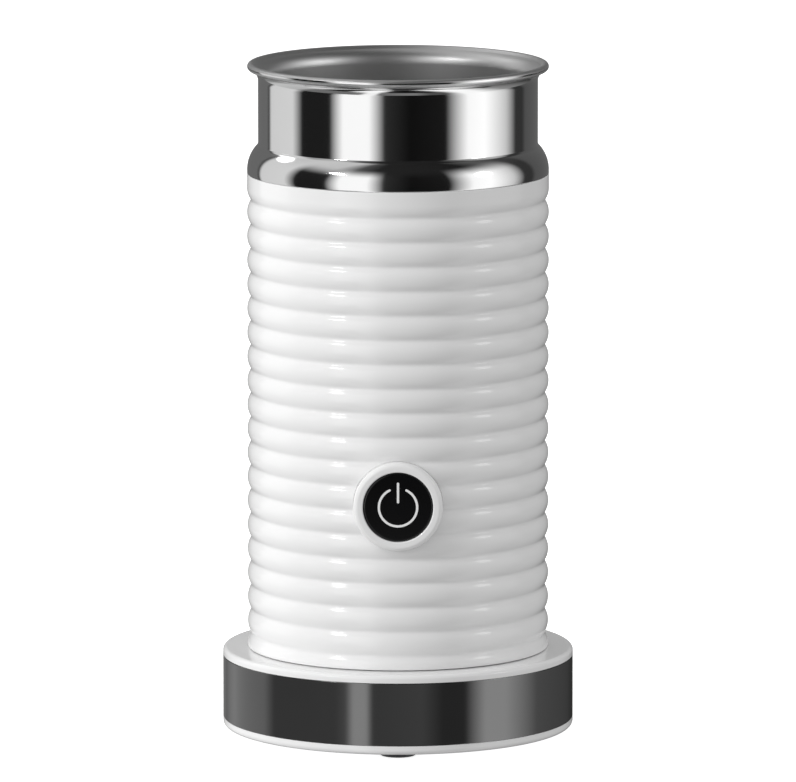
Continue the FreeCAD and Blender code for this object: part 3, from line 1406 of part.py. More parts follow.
for build in (
    base_top_cover, base_trim_band, base_bottom_cover, base_feet, base_screws, cord_gland,
    coupler_housing, coupler_contacts, coupler_screws, shutter,
    outer_sleeve, steel_collar, collar_seal, inner_pot, whisk_spindle, heating, pot_studs,
    temperature_sensor, thermal_fuse, whisk, drive, motor_chassis, motor,
    jug_bottom_cover, jug_bottom_screws, jug_connector,
    button_bezel, push_button, switch_and_board, control_board, board_parts, internal_leads,
):
    build()
doc.recompute()

faults = [
    f"{item.Name}: {item.State}" for item in doc.Objects
    if {"Invalid", "Error"} & set(item.State)
]
for item in NODES:
    if item.Shape.isNull() or not item.Shape.isValid() or not item.Shape.Solids:
        faults.append(f"{item.Label}: no valid solid")
if faults:
    raise SystemExit("\n".join(faults))
for item in NODES:
    item.Shape.exportStep(f"parts/{item.Label}.step")
    size = item.Shape.BoundBox
    print(f"{item.Label:26s} solids {len(item.Shape.Solids)}  volume {item.Shape.Volume:10.1f}"
          f"  z {size.ZMin:7.2f} {size.ZMax:7.2f}  x {size.XMin:7.2f} {size.XMax:7.2f}"
          f"  y {size.YMin:7.2f} {size.YMax:7.2f}")
print(len(NODES), "sub-parts")
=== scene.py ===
"""Electric milk frother: the looks of its casing, steel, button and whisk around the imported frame."""

import json
import logging
import math
from dataclasses import dataclass, field
from enum import Enum

import bmesh
import bpy
import numpy as np
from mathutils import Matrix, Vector


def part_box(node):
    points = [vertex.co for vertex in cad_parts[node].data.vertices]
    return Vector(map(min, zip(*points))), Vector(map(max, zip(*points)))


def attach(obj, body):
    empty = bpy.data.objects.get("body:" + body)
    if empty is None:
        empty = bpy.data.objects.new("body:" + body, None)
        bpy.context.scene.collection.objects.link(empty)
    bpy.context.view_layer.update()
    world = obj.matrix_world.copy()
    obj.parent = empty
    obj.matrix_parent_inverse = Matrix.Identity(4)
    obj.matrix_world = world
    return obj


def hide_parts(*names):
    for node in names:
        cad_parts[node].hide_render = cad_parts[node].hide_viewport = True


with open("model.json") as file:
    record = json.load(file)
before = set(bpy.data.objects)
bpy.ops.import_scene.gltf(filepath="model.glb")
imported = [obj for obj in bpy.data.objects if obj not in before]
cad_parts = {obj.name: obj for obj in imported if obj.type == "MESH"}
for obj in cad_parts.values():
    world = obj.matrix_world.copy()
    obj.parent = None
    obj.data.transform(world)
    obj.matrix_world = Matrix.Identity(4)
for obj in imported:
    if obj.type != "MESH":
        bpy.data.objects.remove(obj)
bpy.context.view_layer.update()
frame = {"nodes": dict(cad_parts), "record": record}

LOG = logging.getLogger("frother")
MM = 0.001
TURN = 2.0 * math.pi
# Steps round the axis of the large turned pieces.
AROUND = 240
# Edges that turn by more degrees than this stay crisp.
SHARP = 35.0
# The same for the wire and the pot, whose skins turn more from step to step.
ROUND_SHARP = 60.0
# Points nearer than this repeat: millimetres in a profile, metres in a carved mesh.
REPEAT = 1e-6
# Straight stretches longer than LONG get points at REACH from both ends, in millimetres.
LONG = 0.8
REACH = 0.04


# ------------------------------------------------------------------ surfaces


class Axis(Enum):
    """The line that a turned piece is turned about."""

    UP = "up"
    INWARD = "inward"


def arc(centre: tuple[float, float], radius: float, start: float, end: float, count: int = 12) -> np.ndarray:
    """Points of a circular arc in a profile's plane.

    A point is the centre plus the radius times (cos angle, sin angle), with
    the angle going evenly from start to end.

    Args:
        centre: The arc's centre as (distance from the axis, height).
        radius: The arc's radius.
        start: The first angle in degrees.
        end: The last angle in degrees.
        count: How many points the arc has.

    Returns:
        An array of count rows of (distance, height).
    """
    angles = np.radians(np.linspace(start, end, count))
    return np.stack([centre[0] + radius * np.cos(angles), centre[1] + radius * np.sin(angles)], axis=1)


def outline(*stretches: np.ndarray | tuple[float, float]) -> np.ndarray:
    """Join points and arcs into one profile, dropping points that repeat.

    Args:
        stretches: Single points or arrays of points, in order.

    Returns:
        An array of (distance, height) rows in millimetres.
    """
    rows = np.vstack([np.atleast_2d(np.asarray(stretch, float)) for stretch in stretches])
    keep = np.r_[True, np.linalg.norm(np.diff(rows, axis=0), axis=1) > REPEAT]
    return rows[keep]


def hold(profile: np.ndarray, closed: bool) -> np.ndarray:
    """Add points near both ends of a profile's long straight stretches, so that they shade flat.

    Args:
        profile: Rows of (distance, height) in millimetres.
        closed: Whether the last point joins the first.

    Returns:
        The profile with the added points.
    """
    after = np.roll(profile, -1, axis=0)
    length = np.linalg.norm(after - profile, axis=1)
    if not closed:
        length[-1] = 0.0
    step = (after - profile) * (REACH / np.maximum(length, REACH))[:, None]
    split = length > LONG
    rows = np.stack([profile, profile + step, after - step], axis=1)
    keep = np.stack([np.ones(len(profile), bool), split, split], axis=1)
    return rows[keep]


def make_object(name: str, points: np.ndarray, faces: list[np.ndarray],
                sharp: float = SHARP) -> bpy.types.Object:
    """Put points and faces into a new smooth-shaded object with outward faces.

    Args:
        name: The object's name.
        points: Corner points in metres, one row each.
        faces: Arrays of corner indices, one array per face size.
        sharp: Edges that turn by more than this many degrees stay crisp.

    Returns:
        The new object, linked to the scene.
    """
    mesh = bpy.data.meshes.new(name)
    rows = [row for block in faces for row in block.tolist()]
    mesh.from_pydata(points, [], rows)
    mesh.polygons.foreach_set("use_smooth", np.ones(len(mesh.polygons), bool))
    mesh.update()
    mesh.set_sharp_from_angle(angle=math.radians(sharp))
    piece = bpy.data.objects.new(name, mesh)
    bpy.context.collection.objects.link(piece)
    return piece


def grid_faces(rows: int, columns: int, loop: bool) -> np.ndarray:
    """Quads of a grid of points numbered row by row, its last column joined to the first.

    Args:
        rows: How many rows the grid has.
        columns: How many columns it has.
        loop: Whether the last row joins the first too.

    Returns:
        An array of four corner indices per quad.
    """
    row, column = np.meshgrid(np.arange(rows if loop else rows - 1), np.arange(columns), indexing="ij")
    below, beside = (row + 1) % rows, (column + 1) % columns
    corners = ((row, column), (row, beside), (below, beside), (below, column))
    return np.stack([(line * columns + place).ravel() for line, place in corners], axis=1)


def turned(name: str, profile: np.ndarray, axis: Axis = Axis.UP,
           centre: tuple[float, float, float] = (0, 0, 0), around: int = AROUND, closed: bool = True,
           sharp: float = SHARP) -> bpy.types.Object:
    """A surface of revolution.

    A point is the profile's (distance, height) turned about the axis by an
    angle: (distance times cos, distance times sin, height) about the upright
    axis, and (distance times cos, height, distance times sin) about the
    inward one. A profile that starts and ends on the axis gets one point at
    each pole; a closed profile joins its last point to its first.

    Args:
        name: The piece's name.
        profile: Rows of (distance, height) in millimetres, anticlockwise in
            the plane with the distance to the right and the height upwards.
        axis: The axis of the turning.
        centre: A point on the axis, in millimetres.
        around: How many steps go round.
        closed: Whether the profile is a loop clear of the axis.
        sharp: The edge angle in degrees that stays crisp.

    Returns:
        The new object.
    """
    angles = np.linspace(0, TURN, around, endpoint=False)
    held = hold(profile, closed)
    ring = held if closed else held[1:-1]
    distance, height = ring[:, :1], np.repeat(ring[:, 1:], around, axis=1)
    side, depth = distance * np.cos(angles), distance * np.sin(angles)
    faces = [grid_faces(len(ring), around, closed)]
    points = np.stack([side, depth, height], axis=2).reshape(-1, 3)
    if not closed:
        poles = np.array([[0, 0, profile[0, 1]], [0, 0, profile[-1, 1]]])
        first, last = len(points), len(points) + 1
        steps = np.arange(around)
        after = (steps + 1) % around
        top = (len(ring) - 1) * around
        points = np.vstack([points, poles])
        faces.append(np.stack([np.full(around, first), after, steps], axis=1))
        faces.append(np.stack([np.full(around, last), top + steps, top + after], axis=1))
    if axis is Axis.INWARD:
        points = points[:, [0, 2, 1]]
        faces = [block[:, ::-1] for block in faces]
    return make_object(name, (points + np.array(centre)) * MM, faces, sharp)


def wire_loop(name: str, path: np.ndarray, radius: float, sides: int) -> bpy.types.Object:
    """A round wire along a path whose end joins its start.

    The tangent is the path's central difference. One direction across is
    square to it and to the line to the path's middle, the other is square to
    both, and a point is the path's point plus the radius times (cos angle of
    the one plus sin angle of the other).

    Args:
        name: The piece's name.
        path: Points of the wire's middle line in millimetres.
        radius: The wire's radius in millimetres.
        sides: How many points go round the wire.

    Returns:
        The new object.
    """
    ahead = np.roll(path, -1, axis=0) - np.roll(path, 1, axis=0)
    ahead /= np.linalg.norm(ahead, axis=1, keepdims=True)
    across = np.cross(path - path.mean(axis=0), ahead)
    across /= np.linalg.norm(across, axis=1, keepdims=True)
    other = np.cross(ahead, across)
    angles = np.linspace(0, TURN, sides, endpoint=False)[None, :, None]
    ring = across[:, None] * np.cos(angles) + other[:, None] * np.sin(angles)
    points = (path[:, None] + radius * ring).reshape(-1, 3)
    return make_object(name, points * MM, [grid_faces(len(path), sides, True)], ROUND_SHARP)


def rods(name: str, radius: float, low: float, high: float, places: list[tuple[float, float]],
         axis: Axis = Axis.UP, sides: int = 48) -> list[bpy.types.Object]:
    """Round rods between two levels, to join to a piece or to cut it with.

    Args:
        name: The rods' name; each gets its number added.
        radius: Their radius in millimetres.
        low: Where they start along their axis.
        high: Where they end along it.
        places: Each rod's place across the axis: (x, y) upright, (x, z) inward.
        axis: The way the rods point.
        sides: How many steps go round.

    Returns:
        The rods.
    """
    line = outline((0, low), (radius, low), (radius, high), (0, high))
    centres = [(a, b, 0) if axis is Axis.UP else (a, 0, b) for a, b in places]
    return [turned(f"{name}_{number}", line, axis, centre, sides, closed=False)
            for number, centre in enumerate(centres)]


def around_axis(radius: float, angles: tuple[float, ...]) -> list[tuple[float, float]]:
    """Places on a circle round the jug's axis, one for each angle in degrees."""
    turns = np.radians(angles)
    return list(zip((radius * np.cos(turns)).tolist(), (radius * np.sin(turns)).tolist()))


def carve(piece: bpy.types.Object, cutters: list[bpy.types.Object],
          joined: tuple[bpy.types.Object, ...] | list[bpy.types.Object] = ()) -> None:
    """Join shapes to a piece, cut others out of it and keep the result as its own mesh.

    Points that the cuts doubled are merged, and slits that they left are
    filled, so that the skin stays closed.

    Args:
        piece: The piece to work on.
        cutters: Closed shapes to take away; they are removed afterwards.
        joined: Closed shapes to add first; they are removed afterwards.
    """
    work = [(tool, "UNION") for tool in joined] + [(tool, "DIFFERENCE") for tool in cutters]
    for tool, operation in work:
        step = piece.modifiers.new(tool.name, "BOOLEAN")
        step.operation = operation
        step.solver = "EXACT"
        step.object = tool
    graph = bpy.context.evaluated_depsgraph_get()
    mesh = bpy.data.meshes.new_from_object(piece.evaluated_get(graph))
    merged = bmesh.new()
    merged.from_mesh(mesh)
    bmesh.ops.remove_doubles(merged, verts=merged.verts, dist=REPEAT)
    bmesh.ops.holes_fill(merged, edges=[edge for edge in merged.edges if edge.is_boundary])
    merged.to_mesh(mesh)
    merged.free()
    piece.modifiers.clear()
    piece.data = mesh
    mesh.polygons.foreach_set("use_smooth", np.ones(len(mesh.polygons), bool))
    mesh.set_sharp_from_angle(angle=math.radians(SHARP))
    for tool, _ in work:
        bpy.data.objects.remove(tool)


def span(node: str) -> tuple[np.ndarray, np.ndarray]:
    """The lowest and highest corner of a CAD node, in millimetres."""
    low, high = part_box(node)
    return np.array(low) / MM, np.array(high) / MM


def settle(piece: bpy.types.Object, body: str, slot: str, node: str, *materials: bpy.types.Material) -> None:
    """Dress a new piece, tie it to a body and let it stand for a CAD node.

    Args:
        piece: The new piece.
        body: The CAD body that it moves with.
        slot: The record's material slot; not used.
        node: The CAD node that it stands for.
        materials: Its materials, the first for every face.
    """
    piece.data.materials.clear()
    for material in materials:
        piece.data.materials.append(material)
    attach(piece, body)
    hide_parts(node)
    LOG.info("%s rides on %s, %d faces", piece.name, body, len(piece.data.polygons))


# ----------------------------------------------------------------- finishes


def linear(text: str) -> tuple[float, float, float, float]:
    """The linear colour of an sRGB hex value such as f2f2ef."""
    parts = [int(text[place:place + 2], 16) / 255 for place in (0, 2, 4)]
    return (*(part / 12.92 if part <= 0.04045 else ((part + 0.055) / 1.055) ** 2.4 for part in parts), 1.0)


def add_node(tree: bpy.types.NodeTree, kind: str, settings: dict | None = None,
             links: dict | None = None) -> bpy.types.Node:
    """Add a node with its settings and its incoming links.

    Args:
        tree: The node tree.
        kind: The node's type name.
        settings: Values by property name, or by input name or number.
        links: Sockets to link from, by input name or number.

    Returns:
        The new node.
    """
    node = tree.nodes.new(kind)
    for key, value in (settings or {}).items():
        if isinstance(key, str) and hasattr(node, key):
            setattr(node, key, value)
        else:
            node.inputs[key].default_value = value
    for key, source in (links or {}).items():
        tree.links.new(source, node.inputs[key])
    return node


@dataclass(frozen=True)
class Finish:
    """A surface finish that becomes one node material.

    Attributes:
        name: The material's name, from the real stuff and how it was made.
        colour: Main colour, sRGB hex.
        shade: Second colour that clouds it a little, sRGB hex.
        roughness: Mean roughness.
        spread: How far the roughness wanders either way.
        metallic: 1 for metal, 0 for everything else.
        ior: Refractive index; None keeps the default, as metals do.
        grain: Size of the surface's fine texture in millimetres.
        relief: Height of that texture in millimetres.
        cloud: Size of the colour and roughness clouds in millimetres.
        stretch: How the grain's pattern is stretched along X, Y and Z.
        anisotropy: Strength of a highlight drawn out around the axis.
        sheen: Weight of a dusty edge light, for rubber.
    """

    name: str
    colour: str
    shade: str
    roughness: float
    spread: float = 0.02
    metallic: float = 0.0
    ior: float | None = None
    grain: float = 0.5
    relief: float = 0.002
    cloud: float = 30.0
    stretch: tuple[float, float, float] = (1.0, 1.0, 1.0)
    anisotropy: float = 0.0
    sheen: float = 0.0

    def build(self) -> bpy.types.Material:
        """Make the material: clouded colour and roughness over a fine bump."""
        material = bpy.data.materials.new(self.name)
        material.use_nodes = True
        tree = material.node_tree
        tree.nodes.clear()
        place = add_node(tree, "ShaderNodeTexCoord")
        drawn = add_node(tree, "ShaderNodeMapping", {"Scale": self.stretch},
                         {"Vector": place.outputs["Object"]})
        clouds = add_node(tree, "ShaderNodeTexNoise", {"Scale": 1 / (self.cloud * MM), "Detail": 3.0},
                          {"Vector": place.outputs["Object"]})
        grain = add_node(tree, "ShaderNodeTexNoise", {"Scale": 1 / (self.grain * MM), "Detail": 2.0},
                         {"Vector": drawn.outputs["Vector"]})
        tones = {"data_type": "RGBA", 6: linear(self.colour), 7: linear(self.shade)}
        tint = add_node(tree, "ShaderNodeMix", tones, {"Factor": clouds.outputs["Fac"]})
        gloss = add_node(tree, "ShaderNodeMapRange",
                         {"To Min": self.roughness - self.spread, "To Max": self.roughness + self.spread},
                         {"Value": clouds.outputs["Fac"]})
        bump = add_node(tree, "ShaderNodeBump", {"Distance": self.relief * MM, "Strength": 1.0},
                        {"Height": grain.outputs["Fac"]})
        values = {"Metallic": self.metallic, "Anisotropic": self.anisotropy, "Sheen Weight": self.sheen}
        if self.ior is not None:
            values["IOR"] = self.ior
        links = {"Base Color": tint.outputs[2], "Roughness": gloss.outputs["Result"],
                 "Normal": bump.outputs["Normal"]}
        if self.anisotropy:
            along = add_node(tree, "ShaderNodeTangent", {"direction_type": "RADIAL", "axis": "Z"})
            links["Tangent"] = along.outputs["Tangent"]
        shader = add_node(tree, "ShaderNodeBsdfPrincipled", values, links)
        add_node(tree, "ShaderNodeOutputMaterial", links={"Surface": shader.outputs["BSDF"]})
        return material


FINISHES = {
    # Polypropylene, injection moulded in a polished tool: bright white, a soft sheen, faint orange peel.
    "white_plastic": Finish("polypropylene_moulded_white", "f0f0f0", "ebebeb", 0.11, ior=1.49, grain=1.4,
                            relief=0.004),
    # Stainless steel, drawn and mirror polished: crisp bands of the room, hardly any texture.
    "polished_steel": Finish("stainless_steel_mirror_polished", "e0e0e0", "dadada", 0.075, 0.015,
                             metallic=1.0, relief=0.0002, cloud=18.0, stretch=(1.0, 1.0, 6.0)),
    # Stainless steel pot wall, brushed round and round: grey, satin, with fine rings.
    "pot_steel": Finish("stainless_steel_satin_brushed", "d2d2d2", "cacaca", 0.42, 0.04, metallic=1.0,
                        grain=0.6, relief=0.004, cloud=14.0, stretch=(0.08, 0.08, 1.6), anisotropy=0.3),
    # ABS with a dark chrome plating: a darker mirror with a slight waviness.
    "dark_chrome_band": Finish("abs_dark_chrome_plated", "747474", "6e6e6e", 0.09, metallic=1.0, grain=6.0,
                               relief=0.003, cloud=25.0),
    # ABS, moulded and polished black: deep black with a clear reflection.
    "black_plastic": Finish("abs_moulded_black_gloss", "0c0c0d", "101011", 0.12, ior=1.53, grain=0.8,
                            relief=0.001),
    # Polycarbonate light guide with a frosted face: plain white sign.
    "icon_white": Finish("polycarbonate_frosted_sign", "f4f4f4", "eeeeee", 0.45, 0.03, ior=1.58, grain=0.2,
                         relief=0.001),
    # Thermoplastic rubber, moulded: charcoal, dull, slightly dusty at its edges.
    "grey_rubber": Finish("rubber_moulded_charcoal", "38383a", "2f2f31", 0.62, 0.05, ior=1.52, grain=0.3,
                          relief=0.01, cloud=6.0, sheen=0.2),
    # Silicone, moulded: milky and soft.
    "silicone": Finish("silicone_moulded_clear", "d6d5d0", "cccbc6", 0.4, 0.04, ior=1.41, grain=0.6,
                       relief=0.003),
    # Polyamide with glass fibre, moulded: black with a fine spark-eroded texture.
    "dark_moulding": Finish("polyamide_moulded_black", "1b1b1d", "161618", 0.46, 0.05, ior=1.53, grain=0.35,
                            relief=0.012, cloud=8.0),
    # Polyamide, moulded: a plain dull red.
    "red_shutter": Finish("polyamide_moulded_red", "8e2a22", "82251e", 0.4, 0.04, ior=1.53, grain=0.35,
                          relief=0.008),
    # Brass, turned and stamped: warm yellow with fine tool marks.
    "brass": Finish("brass_turned", "d9b56c", "caa35a", 0.26, 0.05, metallic=1.0, grain=0.3, relief=0.004,
                    cloud=5.0, stretch=(0.3, 0.3, 3.0)),
    # Steel, zinc plated: bright blue grey, slightly mottled.
    "zinc_steel": Finish("steel_zinc_plated", "c3c7c9", "aeb3b8", 0.3, 0.06, metallic=1.0, grain=0.4,
                         relief=0.004, cloud=4.0),
    # Aluminium, cast and machined: pale and fine grained.
    "aluminium": Finish("aluminium_cast", "cfd1d3", "bfc2c4", 0.38, 0.06, metallic=1.0, relief=0.01,
                        cloud=7.0),
    # Steel sheath of the heating element, tinted by heat: brown grey.
    "element_sheath": Finish("steel_sheath_heat_tinted", "6f665f", "51484a", 0.42, 0.06, metallic=1.0,
                             grain=0.4, relief=0.006, cloud=9.0),
    # Iron, nickel plated or laminated: grey with a dull shine.
    "magnet": Finish("iron_nickel_plated", "85868a", "6c6d72", 0.35, 0.05, metallic=1.0, grain=0.4,
                     relief=0.005, stretch=(1.0, 1.0, 8.0)),
    # Copper wire, enamelled and wound: warm brown red, ridged by a thread of 0.4 mm.
    "copper_wire": Finish("copper_enamelled_wound", "b5622f", "8f4a22", 0.3, 0.05, metallic=1.0, grain=0.4,
                          relief=0.05, stretch=(0.2, 0.2, 4.0)),
    # Glass epoxy with a printed solder mask: deep green, half gloss.
    "board_green": Finish("glass_epoxy_solder_mask", "1d5a35", "17492b", 0.32, 0.05, ior=1.55, grain=0.9,
                          relief=0.006),
    # Silicone, extruded over the leads: dull brick red.
    "lead_sleeve": Finish("silicone_lead_red", "96402a", "873824", 0.5, 0.04, ior=1.41, relief=0.003),
}


@dataclass
class Palette:
    """The built materials, one for each of the record's slots."""

    made: dict[str, bpy.types.Material] = field(default_factory=dict)

    def __getitem__(self, slot: str) -> bpy.types.Material:
        """The material of a slot, built the first time it is asked for."""
        if slot not in self.made:
            self.made[slot] = FINISHES[slot].build()
        return self.made[slot]


# -------------------------------------------------------------- jug's shell


@dataclass
class Sleeve:
    """White ribbed wall of the jug.

    Sizes in millimetres: the bore, the ribs' pitch, the crest's and the
    valley's radius of curvature, the plain land above the first rib and the
    small round of the top and bottom edges.
    """

    bore: float = 38.3
    pitch: float = 6.573
    crest_round: float = 5.15
    valley_round: float = 1.1
    top_land: float = 7.2
    edge: float = 0.25
    edge_points: int = 5
    rib_points: int = 7
    hole_gap: float = 0.04
    hole_sides: int = 96
    tool_reach: float = 3.0

    def ribs(self, crest: float, low: float, high: float) -> np.ndarray:
        """The outer profile, from the foot up.

        Each rib is a wide outward arc and each valley a small inward arc that
        meets it smoothly: where they meet, both have the same slope, so the
        half pitch is shared in the ratio of the two radii.

        Args:
            crest: The crests' distance from the axis.
            low: The sleeve's lowest height.
            high: The sleeve's highest height.

        Returns:
            Rows of (distance, height).
        """
        half = self.pitch / 2
        meet = half * self.valley_round / (self.crest_round + self.valley_round)
        lean = math.degrees(math.asin(meet / self.valley_round))
        depth = (self.crest_round + self.valley_round) * (1 - math.cos(math.radians(lean)))
        rows = int((high - low - self.top_land) / self.pitch) + 1
        edge = crest - self.edge
        stretches = [arc((edge, low + self.edge), self.edge, -90, 0, self.edge_points)]
        for number in reversed(range(rows)):
            middle = high - self.top_land - self.pitch * number
            valley = (crest - depth + self.valley_round, middle)
            below = (crest - self.crest_round, middle - half)
            above = (crest - self.crest_round, middle + half)
            rise = arc(below, self.crest_round, 0, lean, self.rib_points)
            stretches.append(rise[rise[:, 1] > low + 2 * self.edge])
            stretches.append(arc(valley, self.valley_round, 180 + lean, 180 - lean, self.rib_points))
            stretches.append(arc(above, self.crest_round, -lean, 0, self.rib_points))
        stretches.append(arc((edge, high - self.edge), self.edge, 0, 90, self.edge_points))
        return outline(*[stretch for stretch in stretches if len(stretch)])

    def build(self, palette: Palette) -> None:
        """Make the sleeve with its round hole for the button ring."""
        low, high = span("outer_sleeve")
        crest = high[0]
        ring_low, ring_high = span("button_bezel")
        button_height = (ring_low[2] + ring_high[2]) / 2
        profile = outline(self.ribs(crest, low[2], high[2]), (self.bore, high[2]), (self.bore, low[2]))
        piece = turned("sleeve_shell", profile)
        radius = Button.outer + self.hole_gap
        tool = rods("sleeve_tool", radius, -crest - self.tool_reach, -self.bore / 2, [(0, button_height)],
                    Axis.INWARD, self.hole_sides)
        carve(piece, tool)
        settle(piece, "jug", "white_plastic", "outer_sleeve", palette["white_plastic"])


@dataclass
class Collar:
    """Mirror-polished steel shoulder and neck of the jug, 0.6 mm sheet."""

    sheet: float = 0.6
    neck: float = 37.75
    straight: float = 1.0
    shoulder_rise: float = 6.8
    neck_height: float = 17.4
    flare: float = 3.0
    flare_turn: float = 55.0
    hem: float = 38.5
    hem_round: float = 0.25
    corner: float = 0.5
    corner_rise: float = 0.42
    corner_turn: float = 42.0
    corner_cut: float = 2.0
    plain_end: float = 3.0
    sharp: float = 50.0

    def build(self, palette: Palette) -> None:
        """Make the collar from its hem up to the flare under the pot's rim."""
        low, high = span("steel_collar")
        shoulder = high[0]
        start = low[2] + self.straight
        drop = shoulder - self.neck
        curve = (drop**2 + self.shoulder_rise**2) / (2 * drop)
        lean = math.degrees(math.asin(self.shoulder_rise / curve))
        foot = start + self.shoulder_rise
        top = foot + self.neck_height
        heart = (shoulder - curve, start)
        lip = (self.neck + self.flare, top)
        inner_lean = math.degrees(math.acos((self.neck - self.sheet - heart[0]) / (curve - self.sheet)))
        profile = outline(
            (self.hem, low[2]),
            arc((shoulder - self.hem_round, low[2] + self.hem_round), self.hem_round, -90, 0, 5),
            arc(heart, curve, 0, lean - self.corner_cut, 24),
            arc((self.neck + self.corner, foot + self.corner_rise), self.corner,
                180 + self.corner_turn, 180, 6),
            (self.neck, foot + self.plain_end),
            (self.neck, top - self.plain_end),
            arc(lip, self.flare, 180, 180 - self.flare_turn, 14),
            arc(lip, self.flare + self.sheet, 180 - self.flare_turn, 180, 14),
            arc(heart, curve - self.sheet, inner_lean, 0, 20),
            (shoulder - self.sheet, low[2] + self.sheet),
            (self.hem, low[2] + self.sheet),
        )
        piece = turned("neck_and_shoulder", profile, sharp=self.sharp)
        settle(piece, "jug", "polished_steel", "steel_collar", palette["polished_steel"])


@dataclass
class Pot:
    """Drawn steel pot: satin inside, with a polished flare and rolled rim.

    Sizes in millimetres and degrees. The wall stands inside the collar's
    neck by a gap; the rim's bead is a round wire's worth of rolled sheet.
    """

    sheet: float = 0.6
    gap: float = 0.25
    corner: float = 6.0
    corner_land: float = 4.0
    bead: float = 1.0
    bead_circle: float = 39.68
    bead_start: float = 236.0
    bead_turn: float = 250.0
    bead_cover: float = 14.0
    flare_drop: float = 3.8
    flare_turn: float = 64.0
    plain_end: float = 6.0
    spindle: float = 1.5
    spindle_seat: float = 1.2
    spindle_round: float = 0.6
    spindle_sides: int = 32

    def build(self, palette: Palette) -> None:
        """Make the pot's wall and rim as one skin, and the whisk's spindle."""
        low, high = span("inner_pot")
        outer = Collar.neck - Collar.sheet - self.gap
        bore = outer - self.sheet
        top = high[2] - self.bead - self.flare_drop
        lip = (Collar.neck + Collar.flare, top)
        flare = Collar.flare + self.sheet + self.gap
        floor = low[2] + self.sheet
        heart = (outer - self.corner, low[2] + self.corner)
        profile = outline(
            (0, low[2]),
            (heart[0], low[2]),
            arc(heart, self.corner, -90, 0),
            (outer, top - self.plain_end),
            arc(lip, flare, 180, 180 - self.flare_turn + self.bead_cover, 10),
            arc((self.bead_circle, high[2] - self.bead), self.bead, self.bead_start,
                self.bead_start + self.bead_turn, 32),
            arc(lip, flare + self.sheet, 180 - self.flare_turn, 180),
            (bore, top - self.plain_end),
            (bore, floor + self.corner + self.corner_land),
            arc(heart, self.corner - self.sheet, 0, -90),
            (self.spindle + self.spindle_seat, floor),
            (0, floor),
        )
        piece = turned("pot_with_rolled_rim", profile, closed=False, sharp=ROUND_SHARP)
        settle(piece, "jug", "pot_steel", "inner_pot", palette["pot_steel"], palette["polished_steel"])
        self.polish(piece, lip, flare)
        low, high = span("whisk_spindle")
        tip = (self.spindle - self.spindle_round, high[2] - self.spindle_round)
        peg = outline((0, low[2]), (self.spindle, low[2]), arc(tip, self.spindle_round, 0, 90, 6),
                      (0, high[2]))
        piece = turned("spindle_peg", peg, around=self.spindle_sides, closed=False)
        settle(piece, "jug", "pot_steel", "whisk_spindle", palette["polished_steel"])

    def polish(self, piece: bpy.types.Object, lip: tuple[float, float], flare: float) -> None:
        """Give the second material to the faces of the flare's outer skin, under the bead.

        These faces' middles are nearer to the outer skin's arc than a third
        of the sheet.

        Args:
            piece: The pot.
            lip: The flare's centre as (distance, height) in millimetres.
            flare: The outer skin's radius about it.
        """
        middles = np.empty(len(piece.data.polygons) * 3)
        piece.data.polygons.foreach_get("center", middles)
        middles = middles.reshape(-1, 3) / MM
        away = np.hypot(middles[:, 0], middles[:, 1])
        from_lip = np.hypot(away - lip[0], middles[:, 2] - lip[1])
        polished = (np.abs(from_lip - flare) < self.sheet / 3) & (middles[:, 2] > lip[1])
        piece.data.polygons.foreach_set("material_index", polished.astype(np.int32))


# -------------------------------------------------------------------- base


@dataclass
class Shutter:
    """Coupler's loose ring, its upper edges rounded."""

    width: float = 2.2
    edge: float = 0.35
    sides: int = 120

    def build(self, palette: Palette) -> None:
        """Make the loose ring around the coupler's core."""
        low, high = span("shutter_ring")
        outer, inner = high[0], high[0] - self.width
        profile = outline(
            (inner, low[2]), (outer, low[2]),
            arc((outer - self.edge, high[2] - self.edge), self.edge, 0, 90, 5),
            arc((inner + self.edge, high[2] - self.edge), self.edge, 90, 180, 5),
        )
        piece = turned("shutter_ring_soft", profile, around=self.sides)
        settle(piece, "shutter", "red_shutter", "shutter_ring", palette["red_shutter"])


